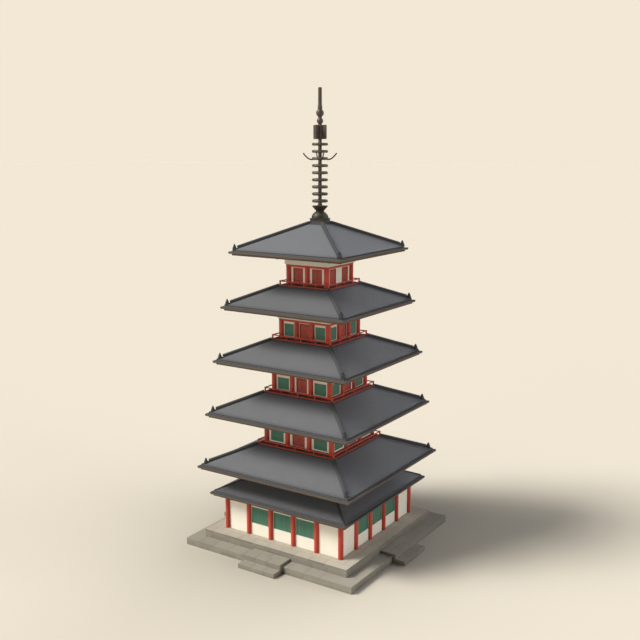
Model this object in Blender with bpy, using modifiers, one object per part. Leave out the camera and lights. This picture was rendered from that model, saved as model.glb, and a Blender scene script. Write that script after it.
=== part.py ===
"""Five-storey timber pagoda with a skirt storey, on a two-tier stone podium.

Units are metres, +Z is up.  The origin is on the ground at the centre of the
podium, and the front looks along -Y.  Each storey is a set of square pieces
round the same axis: balcony floor, railing, posts with beams, plaster wall,
doors with windows, eaves and a tiled roof.
"""
import math
import bpy
import bmesh
from mathutils import Vector, Matrix

# ----------------------------------------------------------------- dimensions
GAP = 0.0003                 # clearance between pieces that touch

# podium and stairs
POD_LOW = 7.005              # half width of the lower tier
POD_UP = 6.043               # half width of the upper tier
POD_LOW_TOP = 0.505
POD_TOP = 1.061
STAIR_HALF = 1.52            # half width of a flight
STAIR_FRONT = 7.985          # front of the lowest step, from the axis
STAIR_MID = 7.27             # front of the second step
STAIR_H1 = 0.33
STAIR_H2 = 0.69

# roofs: number 0 is the skirt roof, 1 to 5 the main roofs
ROOF_TIP_HALF = [5.7655] + [6.368 - 0.4411 * i for i in range(5)]
ROOF_TIP_Z = [3.819] + [5.874 + 3.8514 * i for i in range(5)]
SLOPE = [0.45, 0.428, 0.440, 0.440, 0.445, 0.45]   # rise of the tiles for each metre inward
LIP_TOP = 0.03               # top of the eave board over the tip level
LIP_LOW = -0.11              # bottom of the eave board
EAVE_LOW = -0.24             # underside of the eaves
LIP_OUT = 0.19               # how far the eave board stands out
TILE_BACK = 0.20             # setback of the tiles from the tip
TILE_Z = 0.15                # top of the tile edge over the tip level
TILE_THICK = 0.13
RIDGE_WIDTH = 0.24
RIDGE_HIGH = 0.20            # hip ridge over the tiles

# bodies: half width to the post centres, storeys 1 to 5 and the skirt storey
SKIRT_C = 4.848
SKIRT_BAYS = 5
SKIRT_R = 0.185
BODY_C = [3.20, 2.78, 2.364, 1.971, 1.584]
BODY_BAYS = [3, 3, 3, 3, 2]
POST_R = 0.187
SIDES = 8                    # sides of a round post
BEAM_HALF = 0.14             # half thickness of a beam
BEAM_LOW = -1.10             # beam, under the tip level of its roof
BEAM_TOP = -0.93
SILL_HIGH = 0.12
WALL_BACK = 0.225            # the plaster reaches this far behind the posts
LINING = 0.03                # boards behind the doors and windows
FRIEZE_OUT = 0.21            # the frieze stands out from the post centres
WIN_TOP = [0.0, -1.34, -1.325, -1.29]          # windows of storeys 2 to 4, under the tip level
WIN_LOW = [0.0, -2.13, -2.18, -2.19]
WIN_HALF = [0.0, 0.555, 0.49, 0.405]
DOOR_TOP = -1.16
DOOR_HALF = [0.0, 0.535, 0.455, 0.43, 0.415]
SKIRT_WIN = (1.92, 3.11)     # skirt windows, from the ground
SKIRT_WIN_HALF = 0.70

# balconies of storeys 2 to 5
BALCONY = [None, 3.26, 2.88, 2.47, 2.07]   # outer half width
FLOOR_THICK = 0.10
RAIL = 0.08
RAIL_TOP = 0.325             # centre of the handrail over the roof's top edge
RAIL_BAYS = 4

# bracket arms under the eaves
ARM_REACH = 1.03             # beyond the post centres
ARM_HALF = 0.17
ARM_LOW = -0.58

# spire
PLATE_HALF = 0.535
CURB_HALF = 0.58             # curb of the top roof, which carries the plate
CURB_Z = 23.30
PLATE_Z = (CURB_Z + GAP, 23.527)
SHAFT_R = 0.130
RING_R = 0.478
RING_THICK = 0.098           # half height of a hoop
RING_TOP_Z = 28.62
RING_LOW_Z = 24.72
RING_COUNT = 9
FLAME_Z = (28.967, 29.934)
FLAME_HALF = 0.548
SPIRE_TOP = 32.45

# ----------------------------------------------------------------- scene setup
for old in list(bpy.data.objects):
    bpy.data.objects.remove(old, do_unlink=True)


def collection(name):
    col = bpy.data.collections.get(name)
    if col is None:
        col = bpy.data.collections.new(name)
        bpy.context.scene.collection.children.link(col)
    return col


PARTS = collection("pagoda")
CUTTERS = collection("cutters")


def material(name, colour, rough, metal=0.0):
    mat = bpy.data.materials.get(name)
    if mat is None:
        mat = bpy.data.materials.new(name)
        mat.use_nodes = True
        shader = mat.node_tree.nodes["Principled BSDF"]
        shader.inputs["Base Color"].default_value = (*colour, 1.0)
        shader.inputs["Roughness"].default_value = rough
        shader.inputs["Metallic"].default_value = metal
        mat.diffuse_color = (*colour, 1.0)
    return mat


STONE = material("podium_stone", (0.46, 0.41, 0.32), 0.85)
RED = material("red_timber", (0.48, 0.07, 0.04), 0.55)
PLASTER = material("white_plaster", (0.86, 0.78, 0.64), 0.8)
GREEN = material("green_window", (0.06, 0.14, 0.09), 0.5)
DOOR = material("red_door", (0.20, 0.04, 0.025), 0.55)
BOARD = material("floor_boards", (0.10, 0.05, 0.035), 0.7)
EAVE = material("eave_timber", (0.16, 0.11, 0.08), 0.7)
TILE = material("roof_tile", (0.20, 0.205, 0.21), 0.6)
BRONZE = material("spire_bronze", (0.05, 0.045, 0.03), 0.45, 0.8)


def empty(name, location=(0.0, 0.0, 0.0)):
    obj = bpy.data.objects.new(name, None)
    obj.location = location
    PARTS.objects.link(obj)
    return obj


ROOT = empty("pagoda_axis")


def finish(obj, mat, parent=None, smooth=False):
    """Put an object in the pagoda, with its material."""
    for col in list(obj.users_collection):
        col.objects.unlink(obj)
    PARTS.objects.link(obj)
    obj.data.materials.clear()
    obj.data.materials.append(mat)
    obj.parent = parent or ROOT
    if smooth:
        obj.data.shade_smooth()
        obj.data.set_sharp_from_angle(angle=math.radians(35))
    return obj


def as_cutter(obj):
    for col in list(obj.users_collection):
        col.objects.unlink(obj)
    CUTTERS.objects.link(obj)
    obj.hide_render = True
    obj.display_type = 'WIRE'
    return obj


def mesh_object(name, bm):
    mesh = bpy.data.meshes.new(name)
    bmesh.ops.recalc_face_normals(bm, faces=bm.faces)
    bm.to_mesh(mesh)
    bm.free()
    obj = bpy.data.objects.new(name, mesh)
    PARTS.objects.link(obj)
    return obj


def add_box(bm, x0, x1, y0, y1, z0, z1, turn=0.0):
    """A box between corners, turned about the axis of the tower."""
    made = bmesh.ops.create_cube(bm, size=1.0)["verts"]
    bmesh.ops.scale(bm, vec=(x1 - x0, y1 - y0, z1 - z0), verts=made)
    bmesh.ops.translate(bm, vec=((x0 + x1) / 2, (y0 + y1) / 2, (z0 + z1) / 2), verts=made)
    if turn:
        bmesh.ops.rotate(bm, verts=made, cent=(0, 0, 0), matrix=Matrix.Rotation(turn, 3, 'Z'))
    return made


def add_post(bm, x, y, radius, z0, z1, sides=SIDES):
    made = bmesh.ops.create_cone(bm, cap_ends=True, cap_tris=False, segments=sides,
                                 radius1=radius, radius2=radius, depth=z1 - z0)["verts"]
    bmesh.ops.rotate(bm, verts=made, cent=(0, 0, 0),
                     matrix=Matrix.Rotation(math.pi / sides, 3, 'Z'))
    bmesh.ops.translate(bm, vec=(x, y, (z0 + z1) / 2), verts=made)
    return made


def square_ring(name, profile):
    """A square frame round the axis: a closed profile of (half width, height)
    points, given down its outer side, turned in four steps."""
    mesh = bpy.data.meshes.new(name)
    points = [(half * math.sqrt(2.0), 0.0, z) for half, z in profile]
    count = len(points)
    mesh.from_pydata(points, [(i, (i + 1) % count) for i in range(count)], [])
    obj = bpy.data.objects.new(name, mesh)
    PARTS.objects.link(obj)
    obj.rotation_euler = (0.0, 0.0, math.radians(45.0))
    turn = obj.modifiers.new("four_sides", 'SCREW')
    turn.axis = 'Z'
    turn.angle = 2.0 * math.pi
    turn.steps = 4
    turn.render_steps = 4
    turn.use_merge_vertices = True
    turn.merge_threshold = 0.0001
    turn.use_normal_calculate = False
    return obj


def turned(name, profile, steps=24, closed=False):
    """A round piece: an open profile of (radius, height) points that starts
    and ends on the axis, from top to bottom.  A closed profile makes a hoop."""
    mesh = bpy.data.meshes.new(name)
    points = [(r, 0.0, z) for r, z in profile]
    edges = [(i, i + 1) for i in range(len(points) - 1)]
    if closed:
        edges.append((len(points) - 1, 0))
    mesh.from_pydata(points, edges, [])
    obj = bpy.data.objects.new(name, mesh)
    PARTS.objects.link(obj)
    turn = obj.modifiers.new("turned", 'SCREW')
    turn.axis = 'Z'
    turn.angle = 2.0 * math.pi
    turn.steps = steps
    turn.render_steps = steps
    turn.use_merge_vertices = True
    turn.merge_threshold = 0.0001
    return obj


def boolean(obj, other, operation, name):
    mod = obj.modifiers.new(name, 'BOOLEAN')
    mod.operation = operation
    mod.solver = 'EXACT'
    mod.object = other
    return mod


def post_places(half, bays):
    """Centres of the posts round a square, each place once."""
    step = 2.0 * half / bays
    places = []
    for i in range(bays):
        along = -half + i * step
        places += [(along, -half), (half, along), (-along, half), (-half, -along)]
    return places


def bay_centres(half, bays):
    step = 2.0 * half / bays
    return [-half + step * (i + 0.5) for i in range(bays)]


QUARTERS = [math.radians(90.0 * i) for i in range(4)]

# ----------------------------------------------------------------- podium
podium_profile = [(0.0, POD_TOP), (POD_UP, POD_TOP), (POD_UP, POD_LOW_TOP),
                  (POD_LOW, POD_LOW_TOP), (POD_LOW, 0.0), (0.0, 0.0)]
podium = turned("podium", [(r * math.sqrt(2.0), z) for r, z in podium_profile], steps=4)
podium.rotation_euler = (0.0, 0.0, math.radians(45.0))
finish(podium, STONE)

for quarter, name in zip(QUARTERS, ("stair_front", "stair_right", "stair_back", "stair_left")):
    outline = [(-STAIR_FRONT, 0.0), (-POD_LOW - GAP, 0.0), (-POD_LOW - GAP, POD_LOW_TOP + GAP),
               (-POD_UP - GAP, POD_LOW_TOP + GAP), (-POD_UP - GAP, STAIR_H2),
               (-STAIR_MID, STAIR_H2), (-STAIR_MID, STAIR_H1), (-STAIR_FRONT, STAIR_H1)]
    bm = bmesh.new()
    side = [bm.verts.new((-STAIR_HALF, y, z)) for y, z in outline]
    face = bm.faces.new(side)
    made = bmesh.ops.extrude_face_region(bm, geom=[face])
    moved = [v for v in made["geom"] if isinstance(v, bmesh.types.BMVert)]
    bmesh.ops.translate(bm, vec=(2.0 * STAIR_HALF, 0.0, 0.0), verts=moved)
    flight = mesh_object(name, bm)
    flight.rotation_euler = (0.0, 0.0, quarter)
    finish(flight, STONE)


# ----------------------------------------------------------------- roofs
def tile_level(k, half):
    """Height of the tiled surface of roof k at a distance from the axis."""
    return ROOF_TIP_Z[k] + TILE_Z + SLOPE[k] * (ROOF_TIP_HALF[k] - TILE_BACK - half)


def roof_top(k):
    """Half width and height where the tiles of roof k end at the top."""
    if k == 0:
        half = BODY_C[0] + FRIEZE_OUT + 0.03
    elif k == 5:
        half = CURB_HALF
    else:
        half = BALCONY[k] - 0.02
    return half, tile_level(k, half)


def hip_ridges(bm, k, low_half, high_half, high, width):
    """Four straight bars along the hips of roof k, with upright ends."""
    z_low, z_high = tile_level(k, low_half), tile_level(k, high_half)
    bury = 0.07
    for quarter in QUARTERS:
        low = Vector((low_half, low_half, z_low))
        top = Vector((high_half, high_half, z_high))
        along = top - low
        level = math.hypot(along.x, along.y)
        fall = Matrix.Identity(4)
        fall[2][0] = -along.z / level
        made = bmesh.ops.create_cube(bm, size=1.0)["verts"]
        bmesh.ops.scale(bm, vec=(level, width, high + bury), verts=made)
        bmesh.ops.translate(bm, vec=(0.0, 0.0, (high - bury) / 2.0), verts=made)
        bmesh.ops.transform(bm, matrix=fall, verts=made)
        bmesh.ops.rotate(bm, verts=made, cent=(0, 0, 0),
                         matrix=Matrix.Rotation(math.radians(45.0), 3, 'Z'))
        bmesh.ops.translate(bm, vec=(low + top) / 2.0, verts=made)
        bmesh.ops.rotate(bm, verts=made, cent=(0, 0, 0), matrix=Matrix.Rotation(quarter, 3, 'Z'))


def end_tiles(bm, k, half, height):
    """Upright ridge-end tiles near the corners of roof k."""
    z = tile_level(k, half)
    for quarter in QUARTERS:
        made = bmesh.ops.create_cone(bm, cap_ends=True, segments=4, radius1=0.5,
                                     radius2=0.17, depth=1.0)["verts"]
        bmesh.ops.rotate(bm, verts=made, cent=(0, 0, 0),
                         matrix=Matrix.Rotation(math.radians(45.0), 3, 'Z'))
        bmesh.ops.scale(bm, vec=(0.26, 0.46, height + 0.08), verts=made)
        bmesh.ops.translate(bm, vec=(0.0, 0.0, (height - 0.08) / 2.0), verts=made)
        bmesh.ops.rotate(bm, verts=made, cent=(0, 0, 0),
                         matrix=Matrix.Rotation(math.radians(45.0), 3, 'Z'))
        bmesh.ops.translate(bm, vec=(half, half, z), verts=made)
        bmesh.ops.rotate(bm, verts=made, cent=(0, 0, 0), matrix=Matrix.Rotation(quarter, 3, 'Z'))


ROOF_NAMES = ["skirt_roof"] + ["roof_%d" % k for k in range(1, 6)]
EAVE_NAMES = ["skirt_eaves"] + ["eaves_%d" % k for k in range(1, 6)]

for k in range(6):
    tip, tip_z = ROOF_TIP_HALF[k], ROOF_TIP_Z[k]
    top_half, top_z = roof_top(k)
    edge = tip - TILE_BACK
    seat = tip - 0.42
    seat_z = tile_level(k, seat) - TILE_THICK
    inner = 0.14 if k == 5 else (top_half if k == 0 else top_half - 0.33)
    under_z = top_z - TILE_THICK
    if k == 0:
        # the skirt roof ends against the wall of the first storey
        profile = [(top_half, top_z), (edge, tip_z + TILE_Z), (edge, tip_z + LIP_TOP + GAP),
                   (seat, tip_z + LIP_TOP + GAP), (seat, seat_z), (top_half, under_z)]
    else:
        profile = [(inner, top_z), (top_half, top_z), (edge, tip_z + TILE_Z),
                   (edge, tip_z + LIP_TOP + GAP), (seat, tip_z + LIP_TOP + GAP),
                   (seat, seat_z), (inner, under_z)]
    if k == 5:
        # a square curb on top carries the spire
        profile[0:1] = [(inner, CURB_Z), (top_half, CURB_Z)]
    roof = square_ring(ROOF_NAMES[k], profile)
    finish(roof, TILE)
    bm = bmesh.new()
    if k == 0:
        hip_ridges(bm, k, edge - 0.10, top_half + 0.06, 0.06, 0.18)
    else:
        low = tip - 0.47 - 0.03 * (5 - k)
        high = PLATE_HALF + 0.015 if k == 5 else BALCONY[k] + 0.012
        hip_ridges(bm, k, low, high, RIDGE_HIGH, RIDGE_WIDTH)
        end_tiles(bm, k, tip - 0.32 - 0.03 * (5 - k), 0.36)
    ridges = as_cutter(mesh_object(ROOF_NAMES[k] + "_ridges", bm))
    boolean(roof, ridges, 'UNION', "ridges")

# ----------------------------------------------------------------- eaves
for k in range(6):
    tip, tip_z = ROOF_TIP_HALF[k], ROOF_TIP_Z[k]
    post_c = SKIRT_C if k == 0 else BODY_C[k - 1]
    bays = SKIRT_BAYS if k == 0 else BODY_BAYS[k - 1]
    inner = post_c - 0.10
    low, board = tip_z + EAVE_LOW, 0.07
    eaves = square_ring(EAVE_NAMES[k], [
        (tip, tip_z + LIP_TOP), (tip, tip_z + LIP_LOW), (tip - LIP_OUT, tip_z + LIP_LOW),
        (tip - LIP_OUT, low), (inner, low), (inner, low + board),
        (tip - 0.52, low + board), (tip - 0.43, tip_z + LIP_TOP)])
    finish(eaves, EAVE)
    if k == 0:
        continue
    bm = bmesh.new()
    arm_in, arm_out = post_c + FRIEZE_OUT + GAP, post_c + ARM_REACH
    low_z, high_z = tip_z + ARM_LOW, low + board / 2.0
    for quarter in QUARTERS:
        for i in range(bays + 1):
            x = -post_c + 2.0 * post_c / bays * i
            add_box(bm, x - ARM_HALF, x + ARM_HALF, -arm_out, -arm_in, low_z, high_z, quarter)
    arms = as_cutter(mesh_object(EAVE_NAMES[k] + "_arms", bm))
    boolean(eaves, arms, 'UNION', "arms")
    bm = bmesh.new()
    for quarter in QUARTERS:
        made = add_box(bm, arm_in * math.sqrt(2.0) + 0.13, (post_c + 0.67) * math.sqrt(2.0),
                       -0.15, 0.15, low_z + 0.011, high_z - 0.009, math.radians(45.0) + quarter)
    corner = as_cutter(mesh_object(EAVE_NAMES[k] + "_corner_arms", bm))
    boolean(eaves, corner, 'UNION', "corner_arms")

# ----------------------------------------------------------------- skirt storey
base = POD_TOP + GAP
ceiling = ROOF_TIP_Z[0] + EAVE_LOW - GAP
skirt_beam_low = ceiling - 0.18

frame = square_ring("skirt_posts", [
    (SKIRT_C + BEAM_HALF, ceiling), (SKIRT_C + BEAM_HALF, skirt_beam_low),
    (SKIRT_C - BEAM_HALF, skirt_beam_low), (SKIRT_C - BEAM_HALF, ceiling)])
finish(frame, RED)
bm = bmesh.new()
for x, y in post_places(SKIRT_C, SKIRT_BAYS):
    add_post(bm, x, y, SKIRT_R, base, ceiling - 0.03)
boolean(frame, as_cutter(mesh_object("skirt_post_set", bm)), 'UNION', "posts")

wall = square_ring("skirt_wall", [
    (SKIRT_C, skirt_beam_low - GAP), (SKIRT_C, base),
    (SKIRT_C - WALL_BACK, base), (SKIRT_C - WALL_BACK, skirt_beam_low - GAP)])
finish(wall, PLASTER)
bm = bmesh.new()
for x, y in post_places(SKIRT_C, SKIRT_BAYS):
    add_post(bm, x, y, SKIRT_R + 0.002, base - 0.1, ceiling + 0.1)
boolean(wall, as_cutter(mesh_object("skirt_wall_pockets", bm)), 'DIFFERENCE', "pockets")
bm = bmesh.new()
skirt_windows = bay_centres(SKIRT_C, SKIRT_BAYS)[1:-1]
for quarter in QUARTERS:
    for x in skirt_windows:
        add_box(bm, x - SKIRT_WIN_HALF, x + SKIRT_WIN_HALF, -SKIRT_C - 0.1,
                -SKIRT_C + WALL_BACK + 0.1, SKIRT_WIN[0], SKIRT_WIN[1], quarter)
boolean(wall, as_cutter(mesh_object("skirt_window_holes", bm)), 'DIFFERENCE', "windows")

lining_out = SKIRT_C - WALL_BACK - GAP
lining = square_ring("skirt_windows", [
    (lining_out, SKIRT_WIN[1] + 0.12), (lining_out, SKIRT_WIN[0] - 0.12),
    (lining_out - LINING, SKIRT_WIN[0] - 0.12), (lining_out - LINING, SKIRT_WIN[1] + 0.12)])
finish(lining, GREEN)
bm = bmesh.new()
for quarter in QUARTERS:
    for x in skirt_windows:
        add_box(bm, x - SKIRT_WIN_HALF + 0.002, x + SKIRT_WIN_HALF - 0.002, -SKIRT_C + 0.04,
                -lining_out + 0.02, SKIRT_WIN[0] + 0.002, SKIRT_WIN[1] - 0.002, quarter)
boolean(lining, as_cutter(mesh_object("skirt_window_panels", bm)), 'UNION', "panels")

# ----------------------------------------------------------------- storeys
for k in range(1, 6):
    tip_z = ROOF_TIP_Z[k]
    c, bays = BODY_C[k - 1], BODY_BAYS[k - 1]
    beam_low, beam_top = tip_z + BEAM_LOW, tip_z + BEAM_TOP
    soffit = tip_z + EAVE_LOW - GAP
    step = 2.0 * c / bays
    if k == 1:
        floor_top = POD_TOP
    else:
        deck_half, deck_z = roof_top(k - 1)
        floor_top = deck_z + GAP + FLOOR_THICK
        half = BALCONY[k - 1] - RAIL - 0.006
        bm = bmesh.new()
        add_box(bm, -half, half, -half, half, deck_z + GAP, floor_top)
        finish(mesh_object("balcony_floor_%d" % k, bm), BOARD)

        # railing: a beam round the edge of the floor, square posts and a handrail
        rail_c = BALCONY[k - 1] - RAIL / 2.0
        bottom = deck_z + GAP
        top = deck_z + RAIL_TOP
        rail = square_ring("railing_%d" % k, [
            (rail_c + RAIL / 2, bottom + RAIL), (rail_c + RAIL / 2, bottom),
            (rail_c - RAIL / 2, bottom), (rail_c - RAIL / 2, bottom + RAIL)])
        finish(rail, RED)
        hand = as_cutter(square_ring("railing_%d_handrail" % k, [
            (rail_c + RAIL / 2, top + RAIL / 2), (rail_c + RAIL / 2, top - RAIL / 2),
            (rail_c - RAIL / 2, top - RAIL / 2), (rail_c - RAIL / 2, top + RAIL / 2)]))
        bm = bmesh.new()
        for x, y in post_places(rail_c, RAIL_BAYS):
            corner = abs(abs(x) - abs(y)) < 0.01
            w, over = (0.045, 0.055) if corner else (0.03, 0.02)
            add_box(bm, x - w, x + w, y - w, y + w, bottom + 0.02, top + over)
        boolean(rail, as_cutter(mesh_object("railing_%d_posts" % k, bm)), 'UNION', "posts")
        boolean(rail, hand, 'UNION', "handrail")

    # posts with the ring beam over them and the sill between them
    floor_z = floor_top + GAP
    frame = square_ring("storey_%d_posts" % k, [
        (c + BEAM_HALF, beam_top), (c + BEAM_HALF, beam_low),
        (c - BEAM_HALF, beam_low), (c - BEAM_HALF, beam_top)])
    finish(frame, RED)
    places = post_places(c, bays)
    if k == 5:
        # the top storey has no middle post on its left and right sides
        places = [(x, y) for x, y in places if abs(y) > 0.1]
    bm = bmesh.new()
    for x, y in places:
        add_post(bm, x, y, POST_R, floor_z, beam_top - 0.03)
    boolean(frame, as_cutter(mesh_object("storey_%d_post_set" % k, bm)), 'UNION', "posts")
    if k > 1:
        sill = as_cutter(square_ring("storey_%d_sill" % k, [
            (c + BEAM_HALF - 0.01, floor_z + SILL_HIGH), (c + BEAM_HALF - 0.01, floor_z + 0.004),
            (c - BEAM_HALF, floor_z + 0.004), (c - BEAM_HALF, floor_z + SILL_HIGH)]))
        boolean(frame, sill, 'UNION', "sill")

    # plaster: the wall between the posts and the frieze over the beam
    behind = c - BEAM_HALF - GAP
    back = c - WALL_BACK
    if k == 1:
        profile = [(c + FRIEZE_OUT, soffit), (c + FRIEZE_OUT, beam_top + GAP),
                   (c - BEAM_HALF, beam_top + GAP), (c - BEAM_HALF, soffit)]
    else:
        profile = [(c + FRIEZE_OUT, soffit), (c + FRIEZE_OUT, beam_top + GAP),
                   (behind, beam_top + GAP), (behind, beam_low - GAP), (c, beam_low - GAP),
                   (c, floor_z + SILL_HIGH + GAP), (behind, floor_z + SILL_HIGH + GAP),
                   (behind, floor_z), (back, floor_z), (back, soffit)]
    wall = square_ring("storey_%d_wall" % k, profile)
    finish(wall, PLASTER)
    if k == 1:
        continue
    bm = bmesh.new()
    for x, y in places:
        add_post(bm, x, y, POST_R + 0.002, floor_z - 0.05, beam_top - 0.015)
    boolean(wall, as_cutter(mesh_object("storey_%d_pockets" % k, bm)), 'DIFFERENCE', "pockets")

    door_half = DOOR_HALF[k - 1]
    door_low, door_top = floor_z + SILL_HIGH, tip_z + DOOR_TOP
    holes = []
    for i, x in enumerate(bay_centres(c, bays)):
        if bays == 2 or i == 1:
            holes.append((x, door_half, door_low, door_top))
        else:
            holes.append((x, WIN_HALF[k - 1], tip_z + WIN_LOW[k - 1], tip_z + WIN_TOP[k - 1]))
    cut = bmesh.new()
    fill = bmesh.new()
    for quarter in QUARTERS:
        for x, w, z0, z1 in holes:
            low_cut = z0 + 0.02 if z0 == door_low else z0
            add_box(cut, x - w, x + w, -c - 0.1, -back + 0.1, low_cut, z1, quarter)
            add_box(fill, x - w + 0.002, x + w - 0.002, -c + 0.04, -back + 0.02,
                    low_cut + 0.002, z1 - 0.002, quarter)
    boolean(wall, as_cutter(mesh_object("storey_%d_openings" % k, cut)), 'DIFFERENCE', "openings")

    # doors and windows stand on one inner lining
    out = back - GAP
    lining = square_ring("storey_%d_doors_windows" % k, [
        (out, tip_z + DOOR_TOP + 0.05), (out, floor_z + 0.03),
        (out - LINING, floor_z + 0.03), (out - LINING, tip_z + DOOR_TOP + 0.05)])
    finish(lining, DOOR)
    boolean(lining, as_cutter(mesh_object("storey_%d_panels" % k, fill)), 'UNION', "panels")

# ----------------------------------------------------------------- spire
plate_low, plate_top = PLATE_Z
r2 = math.sqrt(2.0)
plate = turned("spire_base", [
    (0.0, plate_top), (PLATE_HALF * r2, plate_top), (PLATE_HALF * r2, plate_low),
    (0.0, plate_low)], steps=4)
plate.rotation_euler = (0.0, 0.0, math.radians(45.0))
finish(plate, BRONZE, smooth=False)
bowl_low, bowl_top, lotus_top = plate_top - 0.02, 24.05, 24.395
dome = [(0.600 * math.cos(math.radians(a)) ** 0.92,
         plate_top + (bowl_top - plate_top) * math.sin(math.radians(a)))
        for a in (62, 48, 34, 18, 0)]
bowl = turned("spire_bowl_and_lotus", [
    (0.0, lotus_top - 0.05), (0.42, lotus_top - 0.05), (0.540, lotus_top), (0.552, lotus_top - 0.03),
    (0.41, lotus_top - 0.20), (0.285, bowl_top - 0.01)] + dome + [(0.600, bowl_low), (0.0, bowl_low)],
    steps=16)
as_cutter(bowl)
boolean(plate, bowl, 'UNION', "bowl")

ring_step = (RING_TOP_Z - RING_LOW_Z) / (RING_COUNT - 1)
shaft_low = lotus_top - 0.05 + GAP
shaft_top = FLAME_Z[1] + 0.03
shaft = turned("spire_rings", [(0.0, shaft_top), (SHAFT_R, shaft_top), (SHAFT_R, shaft_low),
                               (0.0, shaft_low)], steps=12)
finish(shaft, BRONZE)
for number in range(RING_COUNT):
    z = RING_TOP_Z - ring_step * number
    t = RING_THICK
    hoop = as_cutter(turned("spire_hoop_%d" % (number + 1), [
        (RING_R + 0.9 * t, z), (RING_R + 0.5 * t, z - t), (RING_R - 0.5 * t, z - t),
        (RING_R - 0.9 * t, z), (RING_R - 0.5 * t, z + t), (RING_R + 0.5 * t, z + t)],
        steps=12, closed=True))
    boolean(shaft, hoop, 'UNION', "hoop_%d" % (number + 1))
    bm = bmesh.new()
    add_box(bm, -RING_R, RING_R, -0.035, 0.035, z - 0.03, z + 0.03)
    add_box(bm, -0.035, 0.035, -RING_R, RING_R, z - 0.028, z + 0.028)
    bars = as_cutter(mesh_object("spire_spokes_%d" % (number + 1), bm))
    mod = boolean(shaft, bars, 'UNION', "spokes_%d" % (number + 1))
    mod.use_self = True

# four horns on the diagonals, at the third ring
horn_z = RING_TOP_Z - 2 * ring_step - 0.055
for pair in range(2):
    curve = bpy.data.curves.new("horn_pair_%d" % (pair + 1), 'CURVE')
    curve.dimensions = '3D'
    curve.bevel_depth = 0.048
    curve.bevel_resolution = 1
    curve.use_fill_caps = True
    spline = curve.splines.new('POLY')
    reach = [(-1.19, 0.43), (-1.02, 0.24), (-0.86, 0.09), (-0.70, 0.01), (-0.52, 0.0),
             (0.52, 0.0), (0.70, 0.01), (0.86, 0.09), (1.02, 0.24), (1.19, 0.43)]
    spline.points.add(len(reach) - 1)
    for point, (along, up) in zip(spline.points, reach):
        point.co = (along, 0.0, horn_z + up + 0.004 * pair, 1.0)
    horn = bpy.data.objects.new("horn_pair_%d" % (pair + 1), curve)
    PARTS.objects.link(horn)
    horn.rotation_euler = (0.0, 0.0, math.radians(45.0 + 90.0 * pair))
    bpy.context.view_layer.update()
    solid = bpy.data.meshes.new_from_object(horn.evaluated_get(bpy.context.evaluated_depsgraph_get()))
    bm = bmesh.new()
    bm.from_mesh(solid)
    bmesh.ops.remove_doubles(bm, verts=bm.verts, dist=0.0001)
    bmesh.ops.recalc_face_normals(bm, faces=bm.faces)
    bm.to_mesh(solid)
    bm.free()
    tube = bpy.data.objects.new("horns_%d" % (pair + 1), solid)
    PARTS.objects.link(tube)
    tube.matrix_world = horn.matrix_world
    bpy.data.objects.remove(horn, do_unlink=True)
    as_cutter(tube)
    boolean(shaft, tube, 'UNION', "horns_%d" % (pair + 1))

# water-flame: two plates that cross, with the shaft through them
flame_low, flame_top = FLAME_Z
bm = bmesh.new()
add_box(bm, -FLAME_HALF, FLAME_HALF, -0.02, 0.02, flame_low, flame_top)
flame = finish(mesh_object("spire_flame", bm), BRONZE)
bm = bmesh.new()
add_box(bm, -0.02, 0.02, -FLAME_HALF, FLAME_HALF, flame_low + 0.001, flame_top - 0.001)
boolean(flame, as_cutter(mesh_object("flame_cross", bm)), 'UNION', "cross")
bm = bmesh.new()
add_post(bm, 0.0, 0.0, SHAFT_R + 0.05, flame_low + 0.01, flame_top - 0.01, 12)
boolean(flame, as_cutter(mesh_object("flame_sleeve", bm)), 'UNION', "sleeve")
bm = bmesh.new()
add_post(bm, 0.0, 0.0, SHAFT_R + 0.006, flame_low - 0.1, flame_top + 0.1, 12)
boolean(flame, as_cutter(mesh_object("flame_bore", bm)), 'DIFFERENCE', "bore")

# finial: small jewel, large jewel and the rod
low = shaft_top + GAP
small_c, small_r = 30.20, 0.228
jewel_c, jewel_r = 30.735, 0.272
profile = [(0.0, SPIRE_TOP), (0.118, SPIRE_TOP), (0.130, SPIRE_TOP - 0.04), (0.133, 31.45),
           (0.152, 31.20), (0.172, 31.05), (0.14, 31.01)]
profile += [(jewel_r * math.sin(math.radians(a)), jewel_c + 0.285 * math.cos(math.radians(a)))
            for a in (35, 60, 90, 120, 145)]
profile += [(0.132, 30.455)]
profile += [(small_r * math.sin(math.radians(a)), small_c + small_r * math.cos(math.radians(a)))
            for a in (40, 65, 90, 115, 140)]
profile += [(0.134, 29.995), (0.134, low), (0.0, low)]
finish(turned("spire_finial", profile, steps=12), BRONZE, smooth=True)
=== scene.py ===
"""Looks of the five-storey timber pagoda: stones, timbers, tiles, windows and
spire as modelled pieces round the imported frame, with procedural materials.

Units are metres, +Z is up, the front looks along -Y.  A side is built as the
front one, with u along the wall and "out" the distance from the axis, and is
then turned in quarters.
"""

import math

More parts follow.
